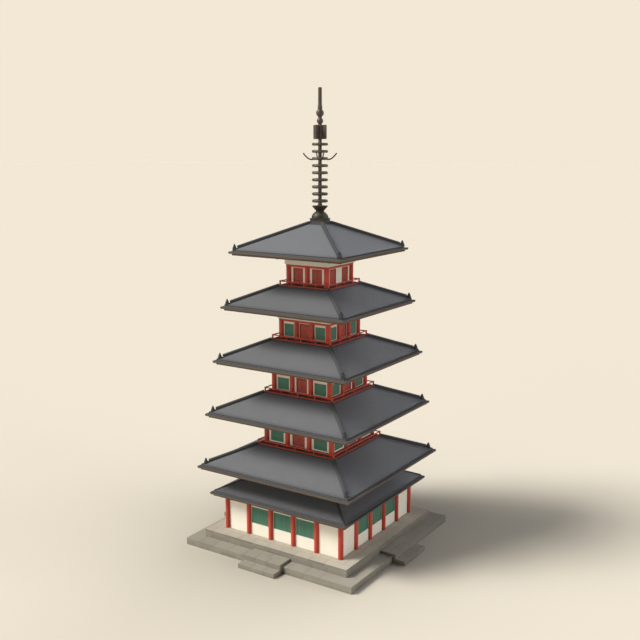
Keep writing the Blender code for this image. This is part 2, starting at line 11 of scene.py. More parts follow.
import bpy
import bmesh
import numpy as np
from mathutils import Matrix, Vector


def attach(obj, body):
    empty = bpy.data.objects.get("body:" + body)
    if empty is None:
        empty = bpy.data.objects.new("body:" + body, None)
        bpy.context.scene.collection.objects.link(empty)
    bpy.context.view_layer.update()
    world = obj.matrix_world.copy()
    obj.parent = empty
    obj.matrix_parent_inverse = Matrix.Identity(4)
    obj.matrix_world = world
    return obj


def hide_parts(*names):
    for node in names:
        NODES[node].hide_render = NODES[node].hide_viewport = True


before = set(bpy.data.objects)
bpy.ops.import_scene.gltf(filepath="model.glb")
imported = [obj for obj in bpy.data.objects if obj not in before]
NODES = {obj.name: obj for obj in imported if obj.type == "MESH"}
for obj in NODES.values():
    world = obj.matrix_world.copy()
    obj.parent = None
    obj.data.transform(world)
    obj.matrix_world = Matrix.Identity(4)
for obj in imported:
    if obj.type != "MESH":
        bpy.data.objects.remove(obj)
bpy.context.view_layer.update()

# ------------------------------------------------------------------ dimensions
POD_LOW, POD_UP = 7.005, 6.043
POD_LOW_TOP, POD_TOP = 0.505, 1.061
STAIR_HALF, STAIR_FRONT, STAIR_MID = 1.52, 7.985, 7.27
STAIR_H1, STAIR_H2 = 0.33, 0.69

TIP = [5.7655] + [6.368 - 0.4411 * i for i in range(5)]
TIP_Z = [3.819] + [5.874 + 3.8514 * i for i in range(5)]
SLOPE = [0.45, 0.428, 0.440, 0.440, 0.445, 0.45]
COS = [math.cos(math.atan(s)) for s in SLOPE]
SIN = [math.sin(math.atan(s)) for s in SLOPE]
TILE_BACK, TILE_Z, TILE_THICK = 0.20, 0.15, 0.13

SKIRT_C, SKIRT_R = 4.848, 0.185
BODY_C = [3.20, 2.78, 2.364, 1.971, 1.584]
BODY_BAYS = [3, 3, 3, 3, 2]
POST_R = 0.187
FRIEZE_OUT = 0.21
SKIRT_WIN, SKIRT_WIN_HALF = (1.92, 3.11), 0.70
WIN_TOP = [0.0, -1.34, -1.325, -1.29]
WIN_LOW = [0.0, -2.13, -2.18, -2.19]
WIN_HALF = [0.0, 0.555, 0.49, 0.405]
DOOR_TOP = -1.16
DOOR_HALF = [0.0, 0.535, 0.455, 0.43, 0.415]
BALCONY = [None, 3.26, 2.88, 2.47, 2.07]
FLOOR_THICK, SILL_HIGH = 0.10, 0.12
RAIL, RAIL_TOP = 0.08, 0.325

PLATE_HALF, CURB_HALF, CURB_Z = 0.535, 0.58, 23.30
SPIRE_TOP = 32.45


def tile_level(k, half):
    return TIP_Z[k] + TILE_Z + SLOPE[k] * (TIP[k] - TILE_BACK - half)


def roof_top(k):
    if k == 0:
        return BODY_C[0] + FRIEZE_OUT + 0.03
    return CURB_HALF if k == 5 else BALCONY[k] - 0.02


def deck_level(k):
    """Top of the roof that carries the floor of storey k."""
    return tile_level(k - 1, roof_top(k - 1))


# ------------------------------------------------------------------- materials
def lin(*rgb):
    out = []
    for c in rgb:
        c /= 255.0
        out.append(c / 12.92 if c <= 0.04045 else ((c + 0.055) / 1.055) ** 2.4)
    return tuple(out)


def shade(rgb, times):
    return tuple(min(c * times, 1.0) for c in rgb)


class Finish:
    """A node material, made of summed noises that drive a palette."""

    def __init__(self, name, rough=0.6, metal=0.0, specular=0.4):
        self.mat = bpy.data.materials.new(name)
        self.mat.use_nodes = True
        self.tree = self.mat.node_tree
        self.shader = self.tree.nodes["Principled BSDF"]
        self.shader.inputs["Roughness"].default_value = rough
        self.shader.inputs["Metallic"].default_value = metal
        self.shader.inputs["Specular IOR Level"].default_value = specular
        self.object = self.new("ShaderNodeTexCoord").outputs["Object"]

    def new(self, kind, **props):
        node = self.tree.nodes.new(kind)
        for key, value in props.items():
            setattr(node, key, value)
        return node

    def put(self, node, key, value):
        socket = node.inputs[key]
        if isinstance(value, bpy.types.NodeSocket):
            self.tree.links.new(value, socket)
        else:
            socket.default_value = value

    def attribute(self, name, output):
        return self.new("ShaderNodeAttribute", attribute_name=name).outputs[output]

    def stretched(self, vector, scale):
        node = self.new("ShaderNodeMapping")
        self.put(node, "Vector", vector)
        node.inputs["Scale"].default_value = scale
        return node.outputs["Vector"]

    def noise(self, vector, scale, detail=3.0, rough=0.5, twist=0.0):
        node = self.new("ShaderNodeTexNoise")
        self.put(node, "Vector", vector)
        node.inputs["Scale"].default_value = scale
        node.inputs["Detail"].default_value = detail
        node.inputs["Roughness"].default_value = rough
        node.inputs["Distortion"].default_value = twist
        return node.outputs["Fac"]

    def cells(self, vector, scale, feature='F1', output="Distance"):
        node = self.new("ShaderNodeTexVoronoi", feature=feature)
        self.put(node, "Vector", vector)
        node.inputs["Scale"].default_value = scale
        return node.outputs[output]

    def math(self, operation, a, b=0.0, c=0.0):
        node = self.new("ShaderNodeMath", operation=operation)
        self.put(node, 0, a)
        self.put(node, 1, b)
        self.put(node, 2, c)
        return node.outputs[0]

    def span(self, value, low, high, to_low=0.0, to_high=1.0):
        node = self.new("ShaderNodeMapRange")
        self.put(node, "Value", value)
        for key, number in (("From Min", low), ("From Max", high),
                            ("To Min", to_low), ("To Max", to_high)):
            node.inputs[key].default_value = number
        return node.outputs["Result"]

    def blend(self, terms, base=0.5):
        """base plus each term's weight times its distance from a half."""
        total = None
        rest = base - 0.5 * sum(weight for _, weight in terms)
        for value, weight in terms:
            total = self.math('MULTIPLY_ADD', value, weight, rest if total is None else total)
        return total

    def palette(self, value, stops):
        node = self.new("ShaderNodeValToRGB")
        self.put(node, "Fac", value)
        ramp = node.color_ramp
        ramp.elements[0].position, ramp.elements[0].color = stops[0][0], (*stops[0][1], 1.0)
        ramp.elements[1].position, ramp.elements[1].color = stops[-1][0], (*stops[-1][1], 1.0)
        for place, colour in stops[1:-1]:
            ramp.elements.new(place).color = (*colour, 1.0)
        return node.outputs["Color"]

    def over(self, share, under, top):
        """top laid over under by a share of 0 to 1."""
        node = self.new("ShaderNodeMix", data_type='RGBA')
        self.put(node, "Factor", share)
        self.put(node, 6, under)
        self.put(node, 7, top if isinstance(top, bpy.types.NodeSocket) else (*top, 1.0))
        return node.outputs[2]

    def colour(self, socket):
        self.put(self.shader, "Base Color", socket)

    def rough(self, value, low, high):
        self.put(self.shader, "Roughness", self.span(value, 0.0, 1.0, low, high))

    def bump(self, height, distance, strength=1.0):
        node = self.new("ShaderNodeBump")
        node.inputs["Strength"].default_value = strength
        node.inputs["Distance"].default_value = distance
        self.put(node, "Height", height)
        self.put(self.shader, "Normal", node.outputs["Normal"])


def stone_finish(name, base, painted_top_light=1.0):
    f = Finish(name, specular=0.3)
    tone = f.attribute("tone", "Fac")
    broad = f.noise(f.object, 0.9, 4.0, 0.55)
    middle = f.noise(f.object, 6.5, 5.0, 0.6)
    grit = f.noise(f.object, 60.0, 3.0, 0.7)
    pits = f.cells(f.object, 38.0)
    value = f.blend([(tone, 0.30), (broad, 0.35), (middle, 0.35), (grit, 0.30)])
    colour = f.palette(value, [(0.18, shade(base, 0.78)), (0.42, shade(base, 0.95)),
                               (0.58, shade(base, 1.03)), (0.85, shade(base, 1.16))])
    height = f.new("ShaderNodeSeparateXYZ")
    f.put(height, 0, f.object)
    foot = f.span(f.math('ADD', height.outputs["Z"], f.span(broad, 0.3, 0.7, -0.10, 0.12)),
                  0.0, 0.22, 0.28, 0.0)
    stain = (base[0] * 0.62, base[1] * 0.62, base[2] * 0.56)
    colour = f.over(foot, colour, stain)
    specks = f.span(f.noise(f.object, 23.0, 2.0, 0.5), 0.63, 0.72, 0.0, 0.25)
    colour = f.over(specks, colour, shade(base, 0.72))
    if painted_top_light != 1.0:
        # upward faces are painted paler: painted light on the tops
        facing = f.new("ShaderNodeSeparateXYZ")
        f.put(facing, 0, f.new("ShaderNodeNewGeometry").outputs["True Normal"])
        pale = f.palette(value, [(0.18, shade(base, 0.92 * painted_top_light)), (0.50, shade(base, painted_top_light)),
                                 (0.85, shade(base, 1.08 * painted_top_light))])
        colour = f.over(f.span(facing.outputs["Z"], 0.55, 0.90), colour, pale)
    f.colour(colour)
    f.rough(middle, 0.78, 0.96)
    f.bump(f.blend([(grit, 0.5), (middle, 0.6), (f.span(pits, 0.0, 0.35), 0.35)]), 0.006, 0.55)
    return f.mat


def timber_finish(name, base, deep, spread=0.35, rough=(0.42, 0.62), wear=0.0, bare=None,
                  depth=0.003, specular=0.35):
    """Painted or weathered timber, with its grain along the member."""
    f = Finish(name, specular=specular)
    tone = f.attribute("tone", "Fac")
    run = f.attribute("grain", "Vector")
    fibres = f.noise(f.stretched(run, (1.3, 38.0, 38.0)), 1.0, 4.0, 0.62)
    rings = f.noise(f.stretched(run, (0.35, 7.0, 7.0)), 1.0, 3.0, 0.55, 1.2)
    broad = f.noise(f.object, 1.6, 3.0, 0.5)
    value = f.blend([(tone, spread), (fibres, 0.35), (rings, 0.25), (broad, 0.35)])
    colour = f.palette(value, [(0.15, deep), (0.45, shade(base, 0.96)), (0.62, shade(base, 1.04)),
                               (0.90, shade(base, 1.18))])
    if wear:
        chips = f.noise(f.stretched(run, (4.0, 22.0, 22.0)), 1.0, 5.0, 0.7)
        share = f.span(f.blend([(chips, 1.0), (broad, 0.5)]), 0.70, 0.80, 0.0, wear)
        colour = f.over(share, colour, bare)
    f.colour(colour)
    f.rough(f.blend([(fibres, 0.6), (broad, 0.6)]), *rough)
    f.bump(f.blend([(fibres, 0.8), (rings, 0.3)]), depth, 0.5)
    return f.mat


def plaster_finish(name, base):
    f = Finish(name, specular=0.25)
    broad = f.noise(f.object, 1.1, 4.0, 0.55)
    trowel = f.noise(f.stretched(f.object, (7.0, 7.0, 4.0)), 1.0, 4.0, 0.6, 0.8)
    grain = f.noise(f.object, 90.0, 3.0, 0.7)
    streaks = f.noise(f.stretched(f.object, (9.0, 9.0, 0.7)), 1.0, 4.0, 0.6)
    value = f.blend([(broad, 0.45), (trowel, 0.35), (grain, 0.25), (streaks, 0.25)])
    colour = f.palette(value, [(0.15, shade(base, 0.88)), (0.42, shade(base, 0.97)),
                               (0.60, base), (0.90, shade(base, 1.04))])
    stain = (base[0] * 0.80, base[1] * 0.77, base[2] * 0.70)
    colour = f.over(f.span(streaks, 0.60, 0.80, 0.0, 0.30), colour, stain)
    f.colour(colour)
    f.rough(trowel, 0.80, 0.95)
    f.bump(f.blend([(grain, 0.5), (trowel, 0.7)]), 0.003, 0.5)
    return f.mat


def tile_finish(name, base, spread=0.08):
    f = Finish(name, specular=0.4)
    tone = f.attribute("tone", "Fac")
    broad = f.noise(f.object, 0.7, 4.0, 0.55)
    fired = f.noise(f.object, 5.0, 3.0, 0.6)
    grit = f.noise(f.object, 70.0, 3.0, 0.7)
    streaks = f.noise(f.stretched(f.object, (3.0, 3.0, 0.5)), 1.0, 3.0, 0.5)
    value = f.blend([(tone, spread), (broad, 0.20), (fired, 0.20), (grit, 0.18), (streaks, 0.15)])
    cool = (base[0] * 0.86, base[1] * 0.87, base[2] * 0.89)
    colour = f.palette(value, [(0.15, cool), (0.45, shade(base, 0.98)), (0.58, shade(base, 1.02)),
                               (0.88, (base[0] * 1.14, base[1] * 1.13, base[2] * 1.11))])
    lichen = f.span(f.blend([(f.noise(f.object, 11.0, 4.0, 0.7), 1.0), (broad, 0.5)]),
                    0.76, 0.84, 0.0, 0.16)
    colour = f.over(lichen, colour, (base[0] * 1.20, base[1] * 1.23, base[2] * 1.12))
    f.colour(colour)
    f.rough(f.blend([(fired, 0.7), (tone, 0.4)]), 0.48, 0.72)
    f.bump(f.blend([(grit, 0.6), (fired, 0.5)]), 0.002, 0.5)
    return f.mat


def bronze_finish(name, base, green):
    f = Finish(name, metal=0.35, specular=0.5)
    tone = f.attribute("tone", "Fac")
    broad = f.noise(f.object, 2.2, 4.0, 0.6)
    fine = f.noise(f.object, 26.0, 4.0, 0.7)
    runs = f.noise(f.stretched(f.object, (9.0, 9.0, 1.2)), 1.0, 4.0, 0.6)
    value = f.blend([(tone, 0.2), (broad, 0.5), (fine, 0.4)])
    colour = f.palette(value, [(0.2, shade(base, 0.65)), (0.5, base), (0.85, shade(base, 1.45))])
    patina = f.span(f.blend([(runs, 0.8), (fine, 0.4)]), 0.52, 0.75, 0.0, 0.55)
    f.colour(f.over(patina, colour, green))
    f.rough(f.blend([(fine, 0.6), (runs, 0.5)]), 0.38, 0.68)
    f.bump(f.blend([(fine, 0.7), (runs, 0.4)]), 0.003, 0.5)
    return f.mat


# both stone finishes paint their upward faces paler, the paving much more: painted light on the tops
STONE = stone_finish("dressed_stone", (0.250, 0.231, 0.187), 1.21)
PAVING = stone_finish("paving_stone_painted_top_light", (0.235, 0.217, 0.174), 1.80)
CORE = stone_finish("joint_mortar", (0.130, 0.118, 0.094))
RED = timber_finish("red_paint", (0.560, 0.070, 0.040), (0.400, 0.046, 0.028),
                    wear=0.2, bare=(0.28, 0.11, 0.07))
# a darker copy of the red paint for the lower rails: painted shade
RED_RAIL_SHADED = timber_finish("red_paint_rail_shaded", (0.360, 0.052, 0.036), (0.270, 0.038, 0.028),
                        wear=0.2, bare=(0.24, 0.10, 0.07))
DOOR = timber_finish("door_paint", (0.440, 0.078, 0.050), (0.330, 0.058, 0.039),
                     wear=0.2, bare=(0.32, 0.13, 0.09))
GREEN = timber_finish("green_paint", (0.088, 0.225, 0.154), (0.068, 0.182, 0.124),
                      wear=0.15, bare=(0.12, 0.17, 0.12))
# boards behind the skirt windows' bars are a darker copy of the green: painted shade in the recess
GREEN_BACK_SHADED = timber_finish("green_boards_painted_shade", (0.080, 0.200, 0.138), (0.060, 0.160, 0.110))
# the upper windows' green is a brighter copy of the same paint: painted light under the eaves
GREEN_UP_LIT = timber_finish("green_paint_upper_painted_light", (0.094, 0.236, 0.168), (0.086, 0.230, 0.160),
                         wear=0.15, bare=(0.15, 0.21, 0.15))
BROWN = timber_finish("eave_wood", (0.105, 0.082, 0.064), (0.060, 0.048, 0.038),
                      rough=(0.6, 0.82), depth=0.004)
WARM = timber_finish("eave_wood_warm", (0.105, 0.064, 0.045), (0.068, 0.043, 0.030),
                     rough=(0.55, 0.78), depth=0.004)
FLOOR = timber_finish("floor_wood", (0.190, 0.072, 0.047), (0.120, 0.048, 0.033),
                      rough=(0.6, 0.85), depth=0.004)
PLASTER = plaster_finish("lime_plaster", (0.880, 0.832, 0.706))
TILE = tile_finish("smoked_tile", (0.089, 0.0925, 0.098))
# the top roof's tiles are a brighter copy of the same tile: painted light
TILE_TOP_LIT = tile_finish("smoked_tile_top_painted_light", (0.121, 0.128, 0.136))
# the skirt roof's tiles are a darker copy of the same tile: painted shade from the roof above
TILE_SKIRT_SHADED = tile_finish("smoked_tile_skirt_painted_shade", (0.086, 0.088, 0.092))
TILE_END = tile_finish("tile_ends", (0.075, 0.076, 0.078))
# hip ridges and their caps are darker copies of the tile: painted shade on the ridges
RIDGE_TILE_SHADED = tile_finish("ridge_tile_painted_shade", (0.044, 0.045, 0.048))
RIDGE_CAP_SHADED = tile_finish("ridge_cap_tile_painted_shade", (0.056, 0.057, 0.059))
LEDGE = tile_finish("ledge_tile", (0.075, 0.074, 0.070), 0.12)
BRONZE = bronze_finish("dark_bronze", (0.038, 0.036, 0.023), (0.050, 0.056, 0.036))
BRONZE_WORN = bronze_finish("worn_bronze", (0.088, 0.070, 0.052), (0.100, 0.100, 0.070))
IRON = bronze_finish("dark_iron", (0.030, 0.028, 0.027), (0.050, 0.045, 0.040))


# -------------------------------------------------------------------- geometry
class Shape:
    """Closed solids gathered in one mesh.  Each solid has a tone, and its
    grain runs along the first of its own coordinates."""

    def __init__(self, seed):
        self.rng = np.random.default_rng(seed)
        self.co, self.grain = [], []
        self.faces, self.tone, self.mats = [], [], []
        self.count = 0
        self.turn = 0
        self.basis = None

    def at(self, origin, x_axis, y_axis, z_axis):
        self.basis = (np.array(origin, float),
                      np.array([x_axis, y_axis, z_axis], float))

    def add(self, co, faces, mat=0, along=0, tone=None, grain=None):
        co = np.array(co, dtype=float).reshape(-1, 3)
        if grain is None:
            grain = np.roll(co, -along, axis=1)
        grain = np.asarray(grain, float) + self.rng.uniform(-40.0, 40.0, 3)
        if tone is None:
            tone = self.rng.uniform()
        tone = np.broadcast_to(np.asarray(tone, float), (len(faces),))
        if self.basis is not None:
            co = self.basis[0] + co @ self.basis[1]
        for _ in range(self.turn % 4):
            co = np.stack([-co[:, 1], co[:, 0], co[:, 2]], axis=1)
        self.co.append(co)
        self.grain.append(grain)
        start = self.count
        self.faces.extend([[i + start for i in face] for face in faces])
        self.tone.append(tone)
        self.mats.append(np.full(len(faces), mat, dtype=np.int32))
        self.count += len(co)

    def around(self, make, *args, **kw):
        """make(self, ...) for each of the four sides."""
        for quarter in range(4):
            self.turn = quarter
            make(self, *args, **kw)
        self.turn = 0

    def build(self, name, mats, nodes=(), angle=35.0):
        mesh = bpy.data.meshes.new(name)
        mesh.from_pydata(np.concatenate(self.co).tolist(), [], self.faces)
        for mat in mats:
            mesh.materials.append(mat)
        mesh.polygons.foreach_set("material_index", np.concatenate(self.mats))
        tone = mesh.attributes.new("tone", 'FLOAT', 'FACE')
        tone.data.foreach_set("value", np.concatenate(self.tone).astype(np.float32))
        grain = mesh.attributes.new("grain", 'FLOAT_VECTOR', 'POINT')
        grain.data.foreach_set("vector", np.concatenate(self.grain).astype(np.float32).ravel())
        bm = bmesh.new()
        bm.from_mesh(mesh)
        bmesh.ops.recalc_face_normals(bm, faces=bm.faces)
        bm.to_mesh(mesh)
        bm.free()
        mesh.polygons.foreach_set("use_smooth", [True] * len(mesh.polygons))
        mesh.set_sharp_from_angle(angle=math.radians(angle))
        mesh.update()
        obj = bpy.data.objects.new(name, mesh)
        bpy.context.scene.collection.objects.link(obj)
        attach(obj, "root")
        if nodes:
            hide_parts(*nodes)
        return obj


def _block_faces():
    def vert(corner, axis):
        return (corner[0] * 4 + corner[1] * 2 + corner[2]) * 3 + axis
    faces = []
    for a in range(3):
        b, c = [i for i in range(3) if i != a]
        for s in (0, 1):
            quad = []
            for sb, sc in ((0, 0), (1, 0), (1, 1), (0, 1)):
                corner = [0, 0, 0]
                corner[a], corner[b], corner[c] = s, sb, sc
                quad.append(vert(corner, a))
            faces.append(quad)
    for a, b in ((0, 1), (0, 2), (1, 2)):
        c = 3 - a - b
        for sa in (0, 1):
            for sb in (0, 1):
                near, far = [0, 0, 0], [0, 0, 0]
                near[a], near[b], near[c] = sa, sb, 0
                far[a], far[b], far[c] = sa, sb, 1
                faces.append([vert(near, a), vert(near, b), vert(far, b), vert(far, a)])
    for x in (0, 1):
        for y in (0, 1):
            for z in (0, 1):
                faces.append([vert((x, y, z), 0), vert((x, y, z), 1), vert((x, y, z), 2)])
    return faces


BLOCK_FACES = _block_faces()


def block(sh, u, out, z, cut=0.006, mat=0, along=0, tone=None):
    """A box with its edges cut back: (u0, u1), (out0, out1), (z0, z1)."""
    lo = np.array([u[0], -out[1], z[0]], float)
    hi = np.array([u[1], -out[0], z[1]], float)
    cut = min(cut, 0.3 * float((hi - lo).min()))
    co = []
    for corner in range(8):
        side = np.array([(corner >> 2) & 1, (corner >> 1) & 1, corner & 1])
        full = np.where(side == 0, lo, hi)
        back = np.where(side == 0, lo + cut, hi - cut)
        for axis in range(3):
            point = back.copy()
            point[axis] = full[axis]
            co.append(point)
    sh.add(co, BLOCK_FACES, mat, along, tone)


def tube_faces(rings, count, cap=True, closed=False):
    faces = []
    last = rings if closed else rings - 1
    for r in range(last):
        a, b = r * count, ((r + 1) % rings) * count
        for p in range(count):
            q = (p + 1) % count
            faces.append([a + p, a + q, b + q, b + p])
    if cap and not closed:
        faces.append(list(range(count))[::-1])
        faces.append([(rings - 1) * count + p for p in range(count)])
    return faces


def beam(sh, start, end, wide, high, cut=0.006, lift=0.0, up=(0.0, 0.0, 1.0), mat=0, tone=None):
    """A straight timber between two points, with its four long edges cut."""
    start, end, up = (np.array(v, float) for v in (start, end, up))
    run = end - start
    length = np.linalg.norm(run)
    run /= length
    side = np.cross(run, up)
    side /= np.linalg.norm(side)
    top = np.cross(side, run)
    w, h = wide / 2.0, high / 2.0
    if cut > 0.0:
        c = min(cut, 0.45 * wide, 0.45 * high)
        section = [(-w + c, -h), (w - c, -h), (w, -h + c), (w, h - c),
                   (w - c, h), (-w + c, h), (-w, h - c), (-w, -h + c)]
    else:
        section = [(-w, -h), (w, -h), (w, h), (-w, h)]
    co, grain = [], []
    for s in (0.0, length):
        for a, b in section:
            co.append(start + run * s + side * a + top * (b + lift))
            grain.append((s, a, b))
    sh.add(co, tube_faces(2, len(section)), mat, 0, tone, grain)


def extruded(sh, outline, u0, u1, mat=0, tone=None, along=1):
    """An (out, height) outline carried along the wall from u0 to u1."""
    count = len(outline)
    co = [(u, -o, z) for u in (u0, u1) for o, z in outline]
    sh.add(co, tube_faces(2, count), mat, along, tone)


def mitred(sh, profile, splits=(), gap=0.0012, mat=0, tone=None):
    """One side of a square frame with a closed (out, height) profile, mitred
    at the corners and cut through at the splits."""
    count = len(profile)
    marks = [None] + sorted(splits) + [None]
    for left, right in zip(marks[:-1], marks[1:]):
        co = [((-o + gap) if left is None else left + gap, -o, z) for o, z in profile]
        co += [((o - gap) if right is None else right - gap, -o, z) for o, z in profile]
        sh.add(co, tube_faces(2, count), mat, 0, tone)


def cut_rect(o0, o1, z0, z1, c=0.008):
    """A rectangular (out, height) profile with its corners cut."""
    return [(o0 + c, z0), (o1 - c, z0), (o1, z0 + c), (o1, z1 - c),
            (o1 - c, z1), (o0 + c, z1), (o0, z1 - c), (o0, z0 + c)]


def lathe(sh, profile, steps, centre=(0.0, 0.0), mat=0, tone=None, hoop=False, wave=None,
          offset=0.0):
    """A round solid about a vertical axis: (radius, height) points from one
    end to the other, or a closed section for a hoop.  The ends may lie on the
    axis.  wave(angle, index) may scale a point's radius and shift its height."""
    co, rows = [], []
    for index, (r, z) in enumerate(profile):
        if r <= 1e-6:
            rows.append([len(co)])
            co.append((centre[0], centre[1], z))
            continue
        row = []
        for i in range(steps):
            t = 2.0 * math.pi * (i + offset) / steps
            rr, zz = r, z
            if wave is not None:
                times, shift = wave(t, index)
                rr, zz = r * times, z + shift
            row.append(len(co))
            co.append((centre[0] + rr * math.cos(t), centre[1] + rr * math.sin(t), zz))
        rows.append(row)
    faces = []
    pairs = list(zip(rows[:-1], rows[1:]))
    if hoop:
        pairs.append((rows[-1], rows[0]))
    for a, b in pairs:
        for i in range(steps):
            j = (i + 1) % steps
            if len(a) == 1:
                faces.append([a[0], b[i], b[j]])
            elif len(b) == 1:
                faces.append([a[i], b[0], a[j]])
            else:
                faces.append([a[i], b[i], b[j], a[j]])
    if not hoop:
        for row in (rows[0], rows[-1]):
            if len(row) > 1:
                faces.append(list(row))
    sh.add(co, faces, mat, 2, tone)


def column(sh, u, out, radius, z0, z1, steps=24, mat=0):
    """A round post with slightly rounded ends."""
    lathe(sh, [(radius - 0.014, z1), (radius - 0.003, z1 - 0.004), (radius, z1 - 0.015),
               (radius, z0 + 0.015), (radius - 0.003, z0 + 0.004), (radius - 0.014, z0)],
          steps, (u, -out), mat)


def sweep(sh, points, radii, sides=10, mat=0, tone=None):
    """A round rod along a path, with a radius for each point."""
    points = [Vector(p) for p in points]
    co, grain, s = [], [], 0.0
    normal = None
    for i, p in enumerate(points):
        before, after = points[max(i - 1, 0)], points[min(i + 1, len(points) - 1)]
        run = (after - before).normalized()
        if normal is None:
            normal = run.orthogonal().normalized()
        normal = (normal - run * normal.dot(run)).normalized()
        other = run.cross(normal)
        if i:
            s += (p - points[i - 1]).length
        r = radii[i] if isinstance(radii, (list, tuple)) else radii
        for j in range(sides):
            t = 2.0 * math.pi * j / sides
            co.append(p + (normal * math.cos(t) + other * math.sin(t)) * r)
            grain.append((s, r * math.cos(t), r * math.sin(t)))
    sh.add([tuple(v) for v in co], tube_faces(len(points), sides), mat, 0, tone, grain)


def curve_points(points, count):
    """A smooth path through the points (Catmull-Rom)."""
    pts = [np.array(p, float) for p in points]
    pts = [2 * pts[0] - pts[1]] + pts + [2 * pts[-1] - pts[-2]]
    spans = len(pts) - 3
    out = []
    for i in range(count):
        x = i / (count - 1) * spans
        j = min(int(x), spans - 1)
        t = x - j
        p0, p1, p2, p3 = pts[j:j + 4]
        out.append(0.5 * (2 * p1 + (p2 - p0) * t + (2 * p0 - 5 * p1 + 4 * p2 - p3) * t * t
                          + (3 * p1 - p0 - 3 * p2 + p3) * t ** 3))
    return out


def stepped(sh, section, limits, course, lift, place, mat=0, spread=0.0, grow=0.0):
    """A row of lapped tiles as one closed strip.  section is (across, height,
    lifted) points, limits the length at each point; place(across, along,
    height) gives the positions."""
    a = np.array([p[0] for p in section])
    h = np.array([p[1] for p in section])
    top = np.array([p[2] for p in section], float)
    limits = np.broadcast_to(np.asarray(limits, float), a.shape)
    shortest = float(limits.min())
    rows, s = [], 0.0
    while s + course < shortest - 0.05:
        rows += [(s + (0.004 if rows else 0.0), 1.0), (s + course, 0.0)]
        s += course
    rows.append((s + (0.004 if rows else 0.0), 1.0))
    co = []
    for along, raised in rows:
        co.append(place(a * (1.0 + grow * raised), np.full(a.shape, along),
                        h + top * lift * raised))
    co.append(place(a, limits, h))
    count = len(section)
    faces = tube_faces(len(co), count)
    courses = (len(co) + 1) // 2
    tones = np.clip(0.5 + sh.rng.normal(0.0, 0.28, courses), 0.0, 1.0)
    own = []
    for r in range(len(co) - 1):
        own += [tones[(r + 1) // 2 if r % 2 else r // 2]] * count
    own += [tones[0], tones[-1]]
    sh.add(np.concatenate(co), faces, mat, 1, own)


# ---------------------------------------------------------------------- podium
def spaced(half, size):
    """Marks along a side from -half to half, about size apart."""
    count = max(1, round(2.0 * half / size))
    return [-half + 2.0 * half * i / count for i in range(count + 1)]


def stone_run(sh, half, depth, z0, z1, size, shift=0.0, cut=0.008, joint=0.0035):
    """A course of facing stones along one side.  The stone at the right corner
    belongs to this side, the one at the left to the next."""
    marks = [-half + depth] + [m + shift for m in spaced(half - depth, size)[1:-1]] + [half]
    for left, right in zip(marks[:-1], marks[1:]):
        jitter = sh.rng.uniform(-0.0015, 0.0015)
        block(sh, (left + joint, right - joint), (half - depth + joint, half - 0.0015 + jitter),
              (z0 + joint * 0.5, z1 - joint * 0.5), cut)


def podium():
    for level, (half, inner, z0, zm, z1) in {
            "podium_lower_stones": (POD_LOW, POD_UP - 0.20, 0.0, 0.275, POD_LOW_TOP),
            "podium_upper_stones": (POD_UP, 4.60, POD_LOW_TOP, 0.845, POD_TOP)}.items():
        sh = Shape(11 if half > 6.5 else 12)
        if half > 6.5:
            sh.around(stone_run, half, 0.62, z0, zm, 1.17, 0.31)
            sh.around(stone_run, half, half - inner, zm, z1, 1.27)
        else:
            sh.around(stone_run, half, 0.60, z0, zm, 1.21, 0.28)
            sh.around(stone_run, half, 0.62, zm, z1, 1.21)

            def paving(sh):
                # slabs between the rim stones and the wall
                rim, rows = half - 0.62, 2
                depth = (rim - inner) / rows
                for row in range(rows):
                    o1 = rim - depth * row
                    o0 = o1 - depth
                    marks = spaced(o0, 0.78)
                    marks[-1] = o1
                    for left, right in zip(marks[:-1], marks[1:]):
                        drop = sh.rng.uniform(0.0, 0.002)
                        block(sh, (left + 0.003, right - 0.003), (o0 + 0.003, o1 - 0.003),
                              (z1 - 0.10, z1 - 0.001 - drop), 0.005)
            sh.around(paving)
        core_out = half - 0.016

        def core(sh):
            mitred(sh, [(inner - 0.2, z0 + 0.01), (core_out, z0 + 0.01), (core_out, z1 - 0.012),
                        (inner - 0.2, z1 - 0.012)], gap=0.0, mat=1, tone=0.3)
        sh.around(core)
        if half < 6.5:
            block(sh, (-inner + 0.21, inner - 0.21), (-inner + 0.21, inner - 0.21),
                  (z0 + 0.01, z1 - 0.002), 0.005, mat=1, tone=0.5)
        top_stone = STONE if half > 6.5 else PAVING
        sh.build(level, [top_stone, CORE], ["podium"])


